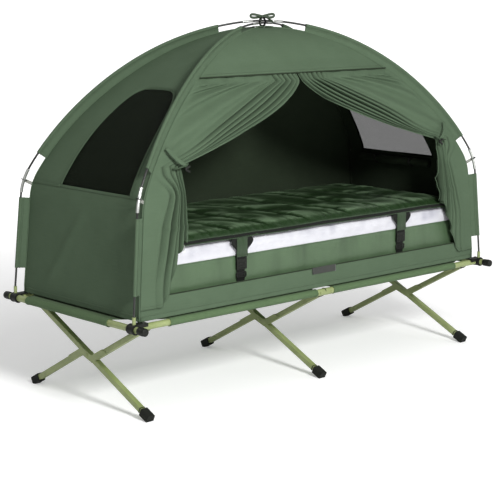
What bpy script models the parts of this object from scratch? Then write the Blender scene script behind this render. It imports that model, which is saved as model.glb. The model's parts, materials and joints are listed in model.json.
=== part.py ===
# Camp bed with a clip-on dome tent: a folding steel cot, an air mattress with a quilt,
# and a two-pole tent that stands on the cot's end bars.
# Metres, +Z up, +X along the bed, -Y is the side with the door. Origin: middle of the footprint.
import math

import bmesh
import bpy
import numpy as np
from mathutils import Matrix, Vector

# Clearances
GAP = 0.0003                    # between pieces that touch on the real bed
FIT = 0.00015                   # radial play of a rivet or pin that turns

# Cot frame: round tube
BAR_SPACING = 1.905             # end bar axis to end bar axis
RAIL_SPACING = 0.712            # side rail axis to side rail axis
RAIL_HEIGHT = 0.3505            # rail and bar axis above the floor
TUBE_RADIUS = 0.0125
TUBE_WALL = 0.0012
BAR_PAST_RAIL = 0.062           # rail axis to the end of the end bar
RAIL_END_SPACE = 0.0105         # end bar surface to rail end
RAIL_SPLIT = 0.003              # space between the two halves of a rail
TUBE_SIDES = 20

# Mid-rail hinge: a channel under the two rail halves
CHANNEL_LENGTH = 0.084
CHANNEL_WALL = 0.002
CHANNEL_LIP = 0.003             # how far its sides rise above the rail axis
HINGE_RIVET_RADIUS = 0.0028
HINGE_RIVET_HEAD = 0.0052
HINGE_RIVET_HEIGHT = 0.0018
HINGE_RIVET_PLACE = 0.029       # from the middle of the rail

# Legs: square tube
LEG_INSET = 0.0762              # end bar axis to the plane of the end legs
LEG_SIZE = 0.022
LEG_WALL = 0.0015
LEG_CORNER = 0.003
PIVOT_Y = 0.0
PIVOT_BELOW_RAIL = 0.1702       # rail axis to pivot, in height
STRAIGHT_SLOPE = math.radians(25.56)
ZIG_SLOPE = math.radians(28.97)
ZIG_OFFSET = 0.0235             # pivot to the axis of either half of the bent leg
ZIG_START = 0.041               # pivot to the inner end of either half
LEG_PAST_RAIL = 0.0             # leg end past the rail axis, before it is cut to the rail

# Pressed bracket that joins the halves of a bent leg
BRACKET_PLATE = 0.0022
BRACKET_FLANGE = 0.0016
BRACKET_DEPTH = 0.010           # flange height along the tube's side
BRACKET_REACH = 0.112           # pivot to the middle of its slanted end
BRACKET_SLANT = 0.034           # long side past short side of that end
BRACKET_SHOULDER = 0.027        # pivot to the start of the cranked middle
BRACKET_FLANGE_START = 0.043
BRACKET_ROUND = 0.007
PIVOT_RADIUS = 0.004
PIVOT_HEAD = 0.008
PIVOT_HEAD_HEIGHT = 0.003

# Rubber feet
FOOT_WALL = 0.0050
FOOT_LENGTH = 0.046             # along its lower side
FOOT_SHORT = 0.017              # how much shorter its upper side is
FOOT_END = 0.010                # rubber past the tube end
FOOT_CORNER = 0.006
SOLE_DEPTH = 0.005              # how much of the lowest corner is worn flat

# End caps and corner fittings
CAP_WALL = 0.0019
CAP_LENGTH = 0.024
CAP_END = 0.012                 # plastic past the tube end
FITTING_RADIUS = 0.0180
FITTING_OUT = 0.022             # from the rail axis towards the end of the bar
FITTING_IN = 0.016
SHELF_REACH = 0.058             # end bar axis to the shelf's inner end
SHELF_THICKNESS = 0.004
SKIRT_THICKNESS = 0.003
SKIRT_DROP = 0.009

# Pole sockets on the end bars
SOCKET_SPACING = 0.7286
SOCKET_RADIUS = 0.0065
SOCKET_HEIGHT = 0.031

# Bed cloth
CLOTH_THICKNESS = 0.0011
HEM_WALL = 0.0014
HEM_INNER_END = 0.045
HEM_OUTER_END = 0.790
HEM_SIDES = 16
BAR_HEM_CENTRE = 0.0275
BAR_HEM_HALF = 0.2525
CLOTH_NOTCH = 0.034

# Tent poles: straight wall part, a pre-bent knee, then a flat arch
POLE_RADIUS = 0.0040
KNEE_SHARE = 0.9655             # of the diagonal half length at the sockets
KNEE_Z = 0.795
KNEE_LEAN = math.radians(27.25)
ARCH_PULL_LOW = 0.2692
ARCH_PULL_TOP = 0.4982
APEX_Z = 1.3873
KNEE_ROUND = 0.055              # length of the knee's bend on either side
POLE_SIDES = 8
FERRULE_WALL = 0.0013
FERRULE_LOW = 0.757
FERRULE_HIGH = 0.842

# Tent fabric
FABRIC = 0.002
TENT_BOTTOM = 0.3685
FLAP_WIDTH = 0.0365             # pole axis to the seam at the wall corner
FLAP_AT_TOP = 0.0200            # the same at the top of the tent
FIN_LOW = 0.466
FIN_HIGH = 0.736
SLEEVE_LOW = 0.902
SLEEVE_TOP_SHARE = 0.185
ROOF_END_SHARE = 0.030
SLEEVE_RADIUS = 0.0056          # middle of the fabric round the pole
SLEEVE_TURN = math.radians(300)
SLEEVE_STEPS = 8
SILL_TOP = 0.451
VISOR_Z = 1.200

# Windows in the end walls
WINDOW_LOW = 0.800
WINDOW_HEIGHT = 0.350
WINDOW_HALF = 0.203
WINDOW_CENTRE = 0.048           # off the middle, towards the same hand at both ends
WINDOW_TAPER = 0.20
WINDOW_MESH = 0.0012

# Door curtains, tied back
CURTAIN_THICKNESS = 0.007
CURTAIN_SEAM = 0.0008           # corner seam to the curtain's sewn edge
CURTAIN_HEM = 0.408
TIE_Z = 0.900
TIE_INSET = 0.2575              # end bar axis to the tie
CURTAIN_MEET_Z = 1.170
CURTAIN_LOW_INSET = 0.1525      # end bar axis to the curtain's free edge at its hem
HEM_ROUND = 0.045

# Mattress and quilt
MATTRESS_LENGTH = 1.760
MATTRESS_WIDTH = 0.650
MATTRESS_HEIGHT = 0.2525
MATTRESS_ROUND = 0.045
MATTRESS_STEPS = 4              # flats of its rounded edges
MATTRESS_SKIN = 0.003
VALVE_RADIUS = 0.011
VALVE_HEIGHT = 0.125
QUILT_LENGTH = 1.620
QUILT_THICKNESS = 0.034
QUILT_DROP = 0.012
QUILT_EDGE = 0.012
QUILT_OVERHANG = 0.011          # quilt edge in front of the mattress face
QUILT_ROUND = 0.040

# Straps with side-release buckles
STRAP_PLACES = {"left": -0.415, "right": 0.475}
FLAP_STRAP_WIDTH = 0.056
FLAP_STRAP_THICKNESS = 0.002
FLAP_STRAP_LOW = 0.538
WEBBING_WIDTH = 0.038
WEBBING_THICKNESS = 0.0018
SOCKET_WIDTH = 0.050
SOCKET_TALL = 0.040
SOCKET_DEEP = 0.009
SOCKET_TOP = 0.530
SOCKET_SHELL = 0.0016
BUCKLE_TRAVEL = 0.027
TONGUE_TALL = 0.044
PRONG_WIDTH = 0.007
PRONG_LENGTH = 0.024

# Tie at the top, over the pole crossing
PATCH_LENGTH = 0.092
PATCH_WIDTH = 0.044
PATCH_THICKNESS = 0.003
LOOP_RADIUS = 0.0168
LOOP_WIRE = 0.002
BOW_LENGTH = 0.130
BOW_LOBE = 0.0085
BOW_WIDTH = 0.010
BOW_WALL = 0.0022

BAR_X = BAR_SPACING / 2
BAR_LENGTH = RAIL_SPACING + 2 * BAR_PAST_RAIL
RAIL_Y = RAIL_SPACING / 2
TIE_X = BAR_X - TIE_INSET
CURTAIN_LOW_X = BAR_X - CURTAIN_LOW_INSET
LEG_X = BAR_X - LEG_INSET
LEG_PLANES = {"left": -LEG_X, "middle": 0.0, "right": LEG_X}
SIDES = {"left": -1, "right": 1}
RAIL_TOP = RAIL_HEIGHT + TUBE_RADIUS
RAIL_END = BAR_X - TUBE_RADIUS - RAIL_END_SPACE
HEM_RADIUS = TUBE_RADIUS + GAP + HEM_WALL
CLOTH_TOP = RAIL_HEIGHT + HEM_RADIUS - 0.0002
POLE_FOOT = math.hypot(BAR_X, SOCKET_SPACING / 2)
DIAGONAL = Vector((BAR_X, SOCKET_SPACING / 2)) / POLE_FOOT
MATTRESS_FRONT = -MATTRESS_WIDTH / 2
MATTRESS_BOTTOM = CLOTH_TOP + GAP
MATTRESS_TOP = MATTRESS_BOTTOM + MATTRESS_HEIGHT
HALF = math.pi / 2


def clear_scene():
    for old in list(bpy.data.objects):
        bpy.data.objects.remove(old, do_unlink=True)


def new_collection(name):
    group = bpy.data.collections.new(name)
    bpy.context.scene.collection.children.link(group)
    return group


clear_scene()
PARTS = new_collection("camp_bed")
CUTTERS = new_collection("cutters")


def material(name, colour, roughness, metallic=0.0):
    mat = bpy.data.materials.new(name)
    mat.use_nodes = True
    shader = mat.node_tree.nodes["Principled BSDF"]
    shader.inputs["Base Color"].default_value = (*colour, 1.0)
    shader.inputs["Roughness"].default_value = roughness
    shader.inputs["Metallic"].default_value = metallic
    mat.diffuse_color = (*colour, 1.0)
    return mat


OLIVE_STEEL = material("olive_powder_coat", (0.26, 0.31, 0.11), 0.45, 0.2)
BLACK_PLASTIC = material("black_plastic", (0.012, 0.016, 0.010), 0.5)
BLACK_RUBBER = material("black_rubber", (0.010, 0.012, 0.009), 0.75)
STEEL = material("zinc_steel", (0.62, 0.63, 0.62), 0.3, 0.9)
POLE_BLACK = material("black_fibreglass", (0.010, 0.010, 0.010), 0.35)
TENT_GREEN = material("tent_fabric", (0.11, 0.17, 0.10), 0.8)
CLOTH_GREEN = material("bed_cloth", (0.12, 0.19, 0.10), 0.85)
MESH_BLACK = material("window_mesh", (0.014, 0.020, 0.010), 0.9)
MATTRESS_GREEN = material("mattress_cover", (0.15, 0.21, 0.13), 0.6)
QUILT_GREEN = material("quilt_nylon", (0.03, 0.06, 0.03), 0.3)
WEBBING_BLACK = material("black_webbing", (0.012, 0.012, 0.012), 0.7)


def finish(obj, mat, smooth=True):
    """Put a sub-part in the model with its material."""
    obj.data.materials.clear()
    obj.data.materials.append(mat)
    if obj.name not in PARTS.objects:
        PARTS.objects.link(obj)
    if smooth and obj.type == "MESH":
        obj.data.shade_smooth()
        obj.data.set_sharp_from_angle(angle=math.radians(35))
    return obj


def mesh_object(name, mesh, group=None):
    obj = bpy.data.objects.new(name, mesh)
    (group or PARTS).objects.link(obj)
    return obj


def rounded_outline(corners, radius, steps=3):
    """Corners of a polygon with each one replaced by an arc of the given radius."""
    points = []
    count = len(corners)
    for index, corner in enumerate(corners):
        here = Vector(corner)
        before = (Vector(corners[index - 1]) - here).normalized()
        after = (Vector(corners[(index + 1) % count]) - here).normalized()
        half_angle = before.angle(after) / 2
        reach = radius / math.tan(half_angle)
        centre = here + (before + after).normalized() * (radius / math.sin(half_angle))
        first = here + before * reach - centre
        last = here + after * reach - centre
        turn = first.angle_signed(last)
        for step in range(steps + 1):
            angle = -turn * step / steps
            spoke = Matrix.Rotation(angle, 2) @ first
            points.append(tuple(centre + spoke))
    return points


def circle_outline(radius, sides, centre=(0.0, 0.0)):
    angles = [2 * math.pi * (step + 0.5) / sides for step in range(sides)]
    return [(centre[0] + radius * math.cos(a), centre[1] + radius * math.sin(a)) for a in angles]


def rectangle(width, height, centre=(0.0, 0.0)):
    x, y = centre
    return [(x - width / 2, y - height / 2), (x + width / 2, y - height / 2),
            (x + width / 2, y + height / 2), (x - width / 2, y + height / 2)]


def frame_matrix(origin, x_axis, z_axis):
    """Placement whose local X and Z point along the given directions."""
    z_dir = Vector(z_axis).normalized()
    x_dir = Vector(x_axis).normalized()
    y_dir = z_dir.cross(x_dir)
    matrix = Matrix((x_dir, y_dir, z_dir)).transposed().to_4x4()
    matrix.translation = Vector(origin)
    return matrix


def prism(name, outlines, depth, matrix, group=None):
    """Flat outline, with holes if there is more than one, extruded by depth about its plane."""
    curve = bpy.data.curves.new(name + "_outline", "CURVE")
    curve.dimensions = "2D"
    curve.fill_mode = "BOTH"
    curve.extrude = depth / 2
    for outline in outlines:
        spline = curve.splines.new("POLY")
        spline.points.add(len(outline) - 1)
        for point, (x, y) in zip(spline.points, outline):
            point.co = (x, y, 0.0, 1.0)
        spline.use_cyclic_u = True
    flat = bpy.data.objects.new(name + "_flat", curve)
    bpy.context.scene.collection.objects.link(flat)
    flat.matrix_world = matrix
    return curve_to_mesh(name, flat, group)


def curve_to_mesh(name, source, group=None):
    """A welded mesh object in place of a curve object."""
    bpy.context.view_layer.update()
    graph = bpy.context.evaluated_depsgraph_get()
    mesh = bpy.data.meshes.new_from_object(source.evaluated_get(graph))
    build = bmesh.new()
    build.from_mesh(mesh)
    bmesh.ops.remove_doubles(build, verts=build.verts, dist=0.000002)
    bmesh.ops.recalc_face_normals(build, faces=build.faces)
    build.to_mesh(mesh)
    build.free()
    mesh.name = name
    obj = mesh_object(name, mesh, group)
    obj.matrix_world = source.matrix_world.copy()
    bpy.data.objects.remove(source, do_unlink=True)
    return obj


def swept_tube(name, points, radius, sides, group=None):
    """Round rod along a list of points."""
    curve = bpy.data.curves.new(name + "_path", "CURVE")
    curve.dimensions = "3D"
    curve.bevel_depth = radius
    curve.bevel_resolution = max(0, sides // 2 - 2)
    curve.use_fill_caps = True
    spline = curve.splines.new("POLY")
    spline.points.add(len(points) - 1)
    for point, place in zip(spline.points, points):
        point.co = (*place, 1.0)
    rod = bpy.data.objects.new(name + "_rod", curve)
    bpy.context.scene.collection.objects.link(rod)
    return curve_to_mesh(name, rod, group)


def cylinder_between(name, start, end, radius, sides=TUBE_SIDES, group=None):
    start = Vector(start)
    direction = Vector(end) - start
    side = Vector((0, 0, 1)) if abs(direction.normalized().z) < 0.9 else Vector((1, 0, 0))
    x_axis = side.cross(direction).normalized()
    matrix = frame_matrix(start + direction / 2, x_axis, direction)
    return prism(name, [circle_outline(radius, sides)], direction.length, matrix, group)


def block(name, low, high, group=None):
    build = bmesh.new()
    bmesh.ops.create_cube(build, size=1.0)
    size = Vector(high) - Vector(low)
    bmesh.ops.scale(build, vec=size, verts=build.verts)
    mesh = bpy.data.meshes.new(name)
    build.to_mesh(mesh)
    build.free()
    obj = mesh_object(name, mesh, group)
    obj.location = (Vector(low) + Vector(high)) / 2
    return obj


def boolean(target, tool, operation):
    """Cut with, join with or keep the overlap with another object, which becomes a cutter."""
    step = target.modifiers.new(operation.lower() + "_" + tool.name, "BOOLEAN")
    step.operation = operation
    step.object = tool
    step.solver = "EXACT"
    tool.hide_render = True
    tool.display_type = "WIRE"
    for group in list(tool.users_collection):
        group.objects.unlink(tool)
    CUTTERS.objects.link(tool)
    return target


def bevel(obj, width, segments=2, angle=40):
    step = obj.modifiers.new("rounded_edges", "BEVEL")
    step.width = width
    step.segments = segments
    step.limit_method = "ANGLE"
    step.angle_limit = math.radians(angle)
    return obj


def hollow_tube(name, start, end, radius, wall):
    start = Vector(start)
    direction = Vector(end) - start
    side = Vector((0, 0, 1)) if abs(direction.normalized().z) < 0.9 else Vector((1, 0, 0))
    matrix = frame_matrix(start + direction / 2, side.cross(direction).normalized(), direction)
    rings = [circle_outline(radius, TUBE_SIDES), circle_outline(radius - wall, TUBE_SIDES)]
    return prism(name, rings, direction.length, matrix)


def sheet(name, grid, thickness, skip=None):
    """Fabric panel: a grid of places, rows by columns, thickened evenly to both sides."""
    rows, columns = grid.shape[:2]
    build = bmesh.new()
    bmesh.ops.create_grid(build, x_segments=columns - 1, y_segments=rows - 1, size=1.0)
    cells = {}
    for vert in build.verts:
        column = round((vert.co.x + 1) / 2 * (columns - 1))
        row = round((vert.co.y + 1) / 2 * (rows - 1))
        cells[vert] = (row, column)
    if skip:
        gone = []
        for face in build.faces:
            row = min(cells[vert][0] for vert in face.verts)
            column = min(cells[vert][1] for vert in face.verts)
            if skip(row, column):
                gone.append(face)
    for vert, (row, column) in cells.items():
        vert.co = grid[row, column]
    if skip:
        bmesh.ops.delete(build, geom=gone, context="FACES")
    mesh = bpy.data.meshes.new(name)
    build.to_mesh(mesh)
    build.free()
    obj = mesh_object(name, mesh)
    shell = obj.modifiers.new("thickness", "SOLIDIFY")
    shell.thickness = thickness
    shell.offset = 0.0
    shell.use_even_offset = True
    return obj


# Cot frame

def build_rails():
    """Two side rails, each in two halves that meet over a hinge channel."""
    for side, y in (("front", -RAIL_Y), ("rear", RAIL_Y)):
        for end, sign in SIDES.items():
            start = (sign * RAIL_SPLIT / 2, y, RAIL_HEIGHT)
            stop = (sign * RAIL_END, y, RAIL_HEIGHT)
            rail = hollow_tube(f"{side}_rail_{end}", start, stop, TUBE_RADIUS, TUBE_WALL)
            x = sign * HINGE_RIVET_PLACE
            hole = cylinder_between(f"{rail.name}_hole", (x, y - TUBE_RADIUS * 2, RAIL_HEIGHT),
                                    (x, y + TUBE_RADIUS * 2, RAIL_HEIGHT),
                                    HINGE_RIVET_RADIUS + FIT, 12)
            boolean(rail, hole, "DIFFERENCE")
            finish(rail, OLIVE_STEEL)
        build_hinge_channel(side, y)


def build_hinge_channel(side, y):
    """U-shaped channel round the lower half of the rail, with two rivets across it."""
    inner = TUBE_RADIUS + GAP
    outer = inner + CHANNEL_WALL
    steps = 12
    angles = [math.pi + math.pi * step / steps for step in range(steps + 1)]
    outline = [(-outer, CHANNEL_LIP)]
    outline += [(outer * math.cos(a), outer * math.sin(a)) for a in angles]
    outline += [(outer, CHANNEL_LIP), (inner, CHANNEL_LIP)]
    outline += [(inner * math.cos(a), inner * math.sin(a)) for a in reversed(angles)]
    outline += [(-inner, CHANNEL_LIP)]
    matrix = frame_matrix((0, y, RAIL_HEIGHT), (0, 1, 0), (1, 0, 0))
    channel = prism(f"{side}_rail_hinge", [outline], CHANNEL_LENGTH, matrix)
    for sign in (-1, 1):
        x = sign * HINGE_RIVET_PLACE
        reach = outer + HINGE_RIVET_HEIGHT
        pin = cylinder_between(f"{channel.name}_pin_{sign}", (x, y - outer - 0.0004, RAIL_HEIGHT),
                               (x, y + outer + 0.0004, RAIL_HEIGHT), HINGE_RIVET_RADIUS, 12)
        boolean(channel, pin, "UNION")
        for edge in (-1, 1):
            head = cylinder_between(f"{channel.name}_head_{sign}_{edge}",
                                    (x, y + edge * (outer - 0.0006), RAIL_HEIGHT),
                                    (x, y + edge * reach, RAIL_HEIGHT), HINGE_RIVET_HEAD, 12)
            boolean(channel, head, "UNION")
    finish(channel, OLIVE_STEEL)


def build_end_bars():
    """End bars with the tubular sockets that the poles stand in."""
    for end, sign in SIDES.items():
        x = sign * BAR_X
        bar = hollow_tube(f"end_bar_{end}", (x, -BAR_LENGTH / 2, RAIL_HEIGHT),
                          (x, BAR_LENGTH / 2, RAIL_HEIGHT), TUBE_RADIUS, TUBE_WALL)
        for edge in (-1, 1):
            y = edge * SOCKET_SPACING / 2
            top = RAIL_TOP + SOCKET_HEIGHT
            socket = cylinder_between(f"{bar.name}_socket_{edge}", (x, y, RAIL_TOP - TUBE_WALL * 0.6),
                                      (x, y, top), SOCKET_RADIUS, 16)
            boolean(bar, socket, "UNION")
            bore = cylinder_between(f"{bar.name}_bore_{edge}", (x, y, RAIL_TOP + 0.001),
                                    (x, y, top + 0.01), POLE_RADIUS + GAP, 16)
            boolean(bar, bore, "DIFFERENCE")
        finish(bar, OLIVE_STEEL)


def build_end_caps():
    """Black caps over the ends of the end bars, with a rounded end."""
    outer = TUBE_RADIUS + GAP + CAP_WALL
    round_end = 0.004
    sides = 24
    for end, sign in SIDES.items():
        for side, edge in (("front", -1), ("rear", 1)):
            start = edge * (BAR_LENGTH / 2 + CAP_END)
            x = sign * BAR_X
            profile = [(0.0, 0.0), (outer - round_end, 0.0)]
            for step in range(1, 4):
                angle = HALF * step / 3
                profile.append((outer - round_end + round_end * math.sin(angle),
                                -round_end + round_end * math.cos(angle)))
            profile.append((outer, -CAP_LENGTH - CAP_END))
            profile.append((TUBE_RADIUS + GAP, -CAP_LENGTH - CAP_END))
            profile.append((TUBE_RADIUS + GAP, -CAP_END + GAP))
            profile.append((0.0, -CAP_END + GAP))
            cap = turned(f"end_cap_{side}_{end}", profile, sides)
            cap.matrix_world = frame_matrix((x, start, RAIL_HEIGHT), (1, 0, 0), (0, edge, 0))
            finish(cap, BLACK_PLASTIC)


def turned(name, profile, sides):
    """Profile of radius and height, from the top down the outer side, turned about Z."""
    build = bmesh.new()
    verts = [build.verts.new((radius, 0.0, height)) for radius, height in profile]
    for first, second in zip(verts, verts[1:]):
        build.edges.new((first, second))
    mesh = bpy.data.meshes.new(name)
    build.to_mesh(mesh)
    build.free()
    obj = mesh_object(name, mesh)
    screw = obj.modifiers.new("turned", "SCREW")
    screw.steps = sides
    screw.render_steps = sides
    screw.use_merge_vertices = True
    screw.merge_threshold = 0.00001
    return obj


def build_corner_fittings():
    """Moulded collar round the end bar, with a shelf over the end of the side rail."""
    for end, sign in SIDES.items():
        for side, edge in (("front", -1), ("rear", 1)):
            x = sign * BAR_X
            y_in = edge * (RAIL_Y - FITTING_IN)
            y_out = edge * (RAIL_Y + FITTING_OUT)
            fitting = cylinder_between(f"corner_fitting_{side}_{end}", (x, y_in, RAIL_HEIGHT),
                                       (x, y_out, RAIL_HEIGHT), FITTING_RADIUS, 24)
            shelf_low = RAIL_TOP + GAP
            shelf_x = sign * (BAR_X - SHELF_REACH)
            skirt_y = edge * (RAIL_Y + TUBE_RADIUS + GAP)
            shelf = block(f"{fitting.name}_shelf",
                          (min(x, shelf_x), min(y_in, skirt_y + edge * SKIRT_THICKNESS), shelf_low),
                          (max(x, shelf_x), max(y_in, skirt_y + edge * SKIRT_THICKNESS),
                           shelf_low + SHELF_THICKNESS))
            skirt = block(f"{fitting.name}_skirt",
                          (min(x, shelf_x), min(skirt_y, skirt_y + edge * SKIRT_THICKNESS),
                           shelf_low - SKIRT_DROP),
                          (max(x, shelf_x), max(skirt_y, skirt_y + edge * SKIRT_THICKNESS),
                           shelf_low + SHELF_THICKNESS - 0.0003))
            boolean(shelf, skirt, "UNION")
            boolean(fitting, shelf, "UNION")
            bore = cylinder_between(f"{fitting.name}_bore", (x, y_in - edge * 0.01, RAIL_HEIGHT),
                                    (x, y_out + edge * 0.01, RAIL_HEIGHT), TUBE_RADIUS + GAP)
            boolean(fitting, bore, "DIFFERENCE")
            socket = cylinder_between(f"{fitting.name}_socket_room",
                                      (x, edge * SOCKET_SPACING / 2, RAIL_TOP - 0.003),
                                      (x, edge * SOCKET_SPACING / 2, RAIL_TOP + SOCKET_HEIGHT),
                                      SOCKET_RADIUS + GAP, 16)
            boolean(fitting, socket, "DIFFERENCE")
            bevel(fitting, 0.0008, 1)
            finish(fitting, BLACK_PLASTIC)


# Legs

def leg_tube(name, x, start, direction, length):
    """Square tube in the plane x, from a place (y, z) along a direction (y, z)."""
    way = Vector((0, direction[0], direction[1])).normalized()
    centre = Vector((x, start[0], start[1])) + way * length / 2
    outer = rounded_outline(rectangle(LEG_SIZE, LEG_SIZE), LEG_CORNER, 2)
    hole = LEG_SIZE - 2 * LEG_WALL
    inner = rounded_outline(rectangle(hole, hole), LEG_CORNER - LEG_WALL, 2)
    return prism(name, [outer, inner], length, frame_matrix(centre, (1, 0, 0), way))


def along(start, direction, distance):
    return (start[0] + direction[0] * distance, start[1] + direction[1] * distance)


PIVOT = (PIVOT_Y, RAIL_HEIGHT - PIVOT_BELOW_RAIL)
STRAIGHT_UP = (math.cos(STRAIGHT_SLOPE), math.sin(STRAIGHT_SLOPE))
ZIG_UP = (-math.cos(ZIG_SLOPE), math.sin(ZIG_SLOPE))
ZIG_ACROSS = (math.sin(ZIG_SLOPE), math.cos(ZIG_SLOPE))
FOOT_HALF = LEG_SIZE / 2 + GAP + FOOT_WALL


def leg_end_at_floor(axis_point, direction, slope):
    """Distance along a leg to where its rubber foot ends, with its lowest corner worn flat."""
    end_z = FOOT_HALF * math.cos(slope) - SOLE_DEPTH
    return (axis_point[1] - end_z) / -direction[1]


def leg_end_at_rail(axis_point, direction, rail_y):
    """Distance along a leg to just past the rail axis."""
    to_rail = (rail_y - axis_point[0], RAIL_HEIGHT - axis_point[1])
    return to_rail[0] * direction[0] + to_rail[1] * direction[1] + LEG_PAST_RAIL


def cope(leg, x, rail_y):
    """Cut the leg's end to the rail, or at the middle to the channel under it."""
    radius = TUBE_RADIUS + GAP
    if x == 0.0:
        radius = math.hypot(TUBE_RADIUS + GAP + CHANNEL_WALL, CHANNEL_LIP) + GAP
    saddle = cylinder_between(f"{leg.name}_saddle", (x - LEG_SIZE, rail_y, RAIL_HEIGHT),
                              (x + LEG_SIZE, rail_y, RAIL_HEIGHT), radius, 32)
    boolean(leg, saddle, "DIFFERENCE")


def build_foot(name, x, axis_point, direction, slope):
    """Rubber boot over a leg end: longer below, with a sole flat on the floor."""
    reach = leg_end_at_floor(axis_point, direction, slope)
    end = along(axis_point, direction, reach)
    way = Vector((0, direction[0], direction[1]))
    back = Vector((x, end[0], end[1])) - way * FOOT_LENGTH / 2
    outline = rounded_outline(rectangle(2 * FOOT_HALF, 2 * FOOT_HALF), FOOT_CORNER, 3)
    foot = prism(name, [outline], FOOT_LENGTH, frame_matrix(back, (1, 0, 0), way))
    room = LEG_SIZE + 2 * GAP
    hole = rounded_outline(rectangle(room, room), LEG_CORNER, 2)
    mouth = Vector((x, end[0], end[1])) - way * (FOOT_END - GAP + FOOT_LENGTH / 2 + 0.01)
    socket = prism(f"{name}_room", [hole], FOOT_LENGTH + 0.02, frame_matrix(mouth, (1, 0, 0), way))
    boolean(foot, socket, "DIFFERENCE")
    slant = math.atan2(FOOT_SHORT, 2 * FOOT_HALF)
    up = Vector((0, -direction[1], direction[0]))
    if up.z < 0:
        up = -up
    cut_way = (way * math.cos(slant) + up * math.sin(slant)).normalized()
    low_back = Vector((x, end[0], end[1])) - way * FOOT_LENGTH - up * FOOT_HALF
    cut_size = 4 * FOOT_LENGTH
    cut_x = Vector((1, 0, 0))
    cut = prism(f"{name}_slant", [rectangle(cut_size, cut_size)], cut_size,
                frame_matrix(low_back - cut_way * (cut_size / 2), cut_x, cut_way))
    cut_way_check = (back - low_back).dot(cut_way)
    if cut_way_check > 0:
        boolean(foot, cut, "DIFFERENCE")
    floor = block(f"{name}_floor", (x - 0.1, end[0] - 0.1, -0.05), (x + 0.1, end[0] + 0.1, 0.0))
    boolean(foot, floor, "DIFFERENCE")
    return finish(foot, BLACK_RUBBER)


def build_straight_leg(place, x):
    """Leg from the front foot to the rear rail, in one piece, drilled for the pivot."""
    down = (-STRAIGHT_UP[0], -STRAIGHT_UP[1])
    lower = leg_end_at_floor(PIVOT, down, STRAIGHT_SLOPE) - FOOT_END
    upper = leg_end_at_rail(PIVOT, STRAIGHT_UP, RAIL_Y)
    start = along(PIVOT, down, lower)
    leg = leg_tube(f"straight_leg_{place}", x, start, STRAIGHT_UP, lower + upper)
    cope(leg, x, RAIL_Y)
    hole = cylinder_between(f"{leg.name}_hole", (x - LEG_SIZE, *PIVOT), (x + LEG_SIZE, *PIVOT),
                            PIVOT_RADIUS + GAP, 20)
    boolean(leg, hole, "DIFFERENCE")
    finish(leg, OLIVE_STEEL)
    build_foot(f"front_foot_{place}", x, PIVOT, down, STRAIGHT_SLOPE)


def build_bent_leg(place, x):
    """Leg from the front rail to the rear foot, in two offset halves."""
    upper_axis = along(PIVOT, ZIG_ACROSS, -ZIG_OFFSET)
    upper_length = leg_end_at_rail(upper_axis, ZIG_UP, -RAIL_Y) - ZIG_START
    upper = leg_tube(f"bent_leg_upper_{place}", x, along(upper_axis, ZIG_UP, ZIG_START),
                     ZIG_UP, upper_length)
    cope(upper, x, -RAIL_Y)
    finish(upper, OLIVE_STEEL)
    lower_axis = along(PIVOT, ZIG_ACROSS, ZIG_OFFSET)
    down = (-ZIG_UP[0], -ZIG_UP[1])
    lower_length = leg_end_at_floor(lower_axis, down, ZIG_SLOPE) - FOOT_END - ZIG_START
    lower = leg_tube(f"bent_leg_lower_{place}", x, along(lower_axis, down, ZIG_START),
                     down, lower_length)
    finish(lower, OLIVE_STEEL)
    build_foot(f"rear_foot_{place}", x, lower_axis, down, ZIG_SLOPE)
    build_bracket(place, x)


def build_bracket(place, x):
    """Cranked pressed bracket: a plate beside the straight leg, flanged round both tube halves."""
    half = LEG_SIZE / 2 + GAP + BRACKET_FLANGE
    long_end = BRACKET_REACH + BRACKET_SLANT / 2
    short_end = BRACKET_REACH - BRACKET_SLANT / 2
    turn = BRACKET_SHOULDER
    arm = [(short_end, -ZIG_OFFSET + half), (turn, -ZIG_OFFSET + half),
           (-turn * 0.55, ZIG_OFFSET + half), (-long_end, ZIG_OFFSET + half)]
    corners = arm + [(-a, -b) for a, b in arm]
    outline = rounded_outline(corners, BRACKET_ROUND, 3)
    plate_in = x - LEG_SIZE / 2 - GAP
    plate_out = plate_in - BRACKET_PLATE
    depth = BRACKET_PLATE + BRACKET_DEPTH + GAP
    across = Vector((0, *ZIG_ACROSS))
    way = Vector((0, *ZIG_UP))
    normal = way.cross(across)
    sign = 1 if normal.x > 0 else -1
    matrix = Matrix((way, across, normal)).transposed().to_4x4()
    matrix.translation = (plate_out + depth / 2, *PIVOT)
    bracket = prism(f"crank_bracket_{place}", [outline], depth, matrix)
    room = LEG_SIZE + 2 * GAP
    arms = ((1, -ZIG_OFFSET, long_end), (-1, ZIG_OFFSET, long_end))
    for arm_way, offset, reach in arms:
        middle = arm_way * (ZIG_START - GAP + reach) / 2
        pocket_outline = rectangle(reach - ZIG_START + 2 * GAP + 0.02, room,
                                   (middle + arm_way * 0.01, offset))
        pocket = prism(f"{bracket.name}_room_{arm_way}", [pocket_outline], BRACKET_DEPTH * 2,
                       Matrix.Translation((plate_in + BRACKET_DEPTH - plate_out - depth / 2, 0, 0)) @ matrix)
        boolean(bracket, pocket, "DIFFERENCE")
    clear = rectangle(2 * BRACKET_FLANGE_START, 0.2)
    middle_room = prism(f"{bracket.name}_middle", [clear], BRACKET_DEPTH * 2,
                        Matrix.Translation((plate_in + BRACKET_DEPTH - plate_out - depth / 2, 0, 0)) @ matrix)
    boolean(bracket, middle_room, "DIFFERENCE")
    hole = cylinder_between(f"{bracket.name}_hole", (plate_out - 0.01, *PIVOT),
                            (plate_in + 0.01, *PIVOT), PIVOT_RADIUS + FIT, 28)
    boolean(bracket, hole, "DIFFERENCE")
    bracket["flange_side"] = sign
    finish(bracket, OLIVE_STEEL)


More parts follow.
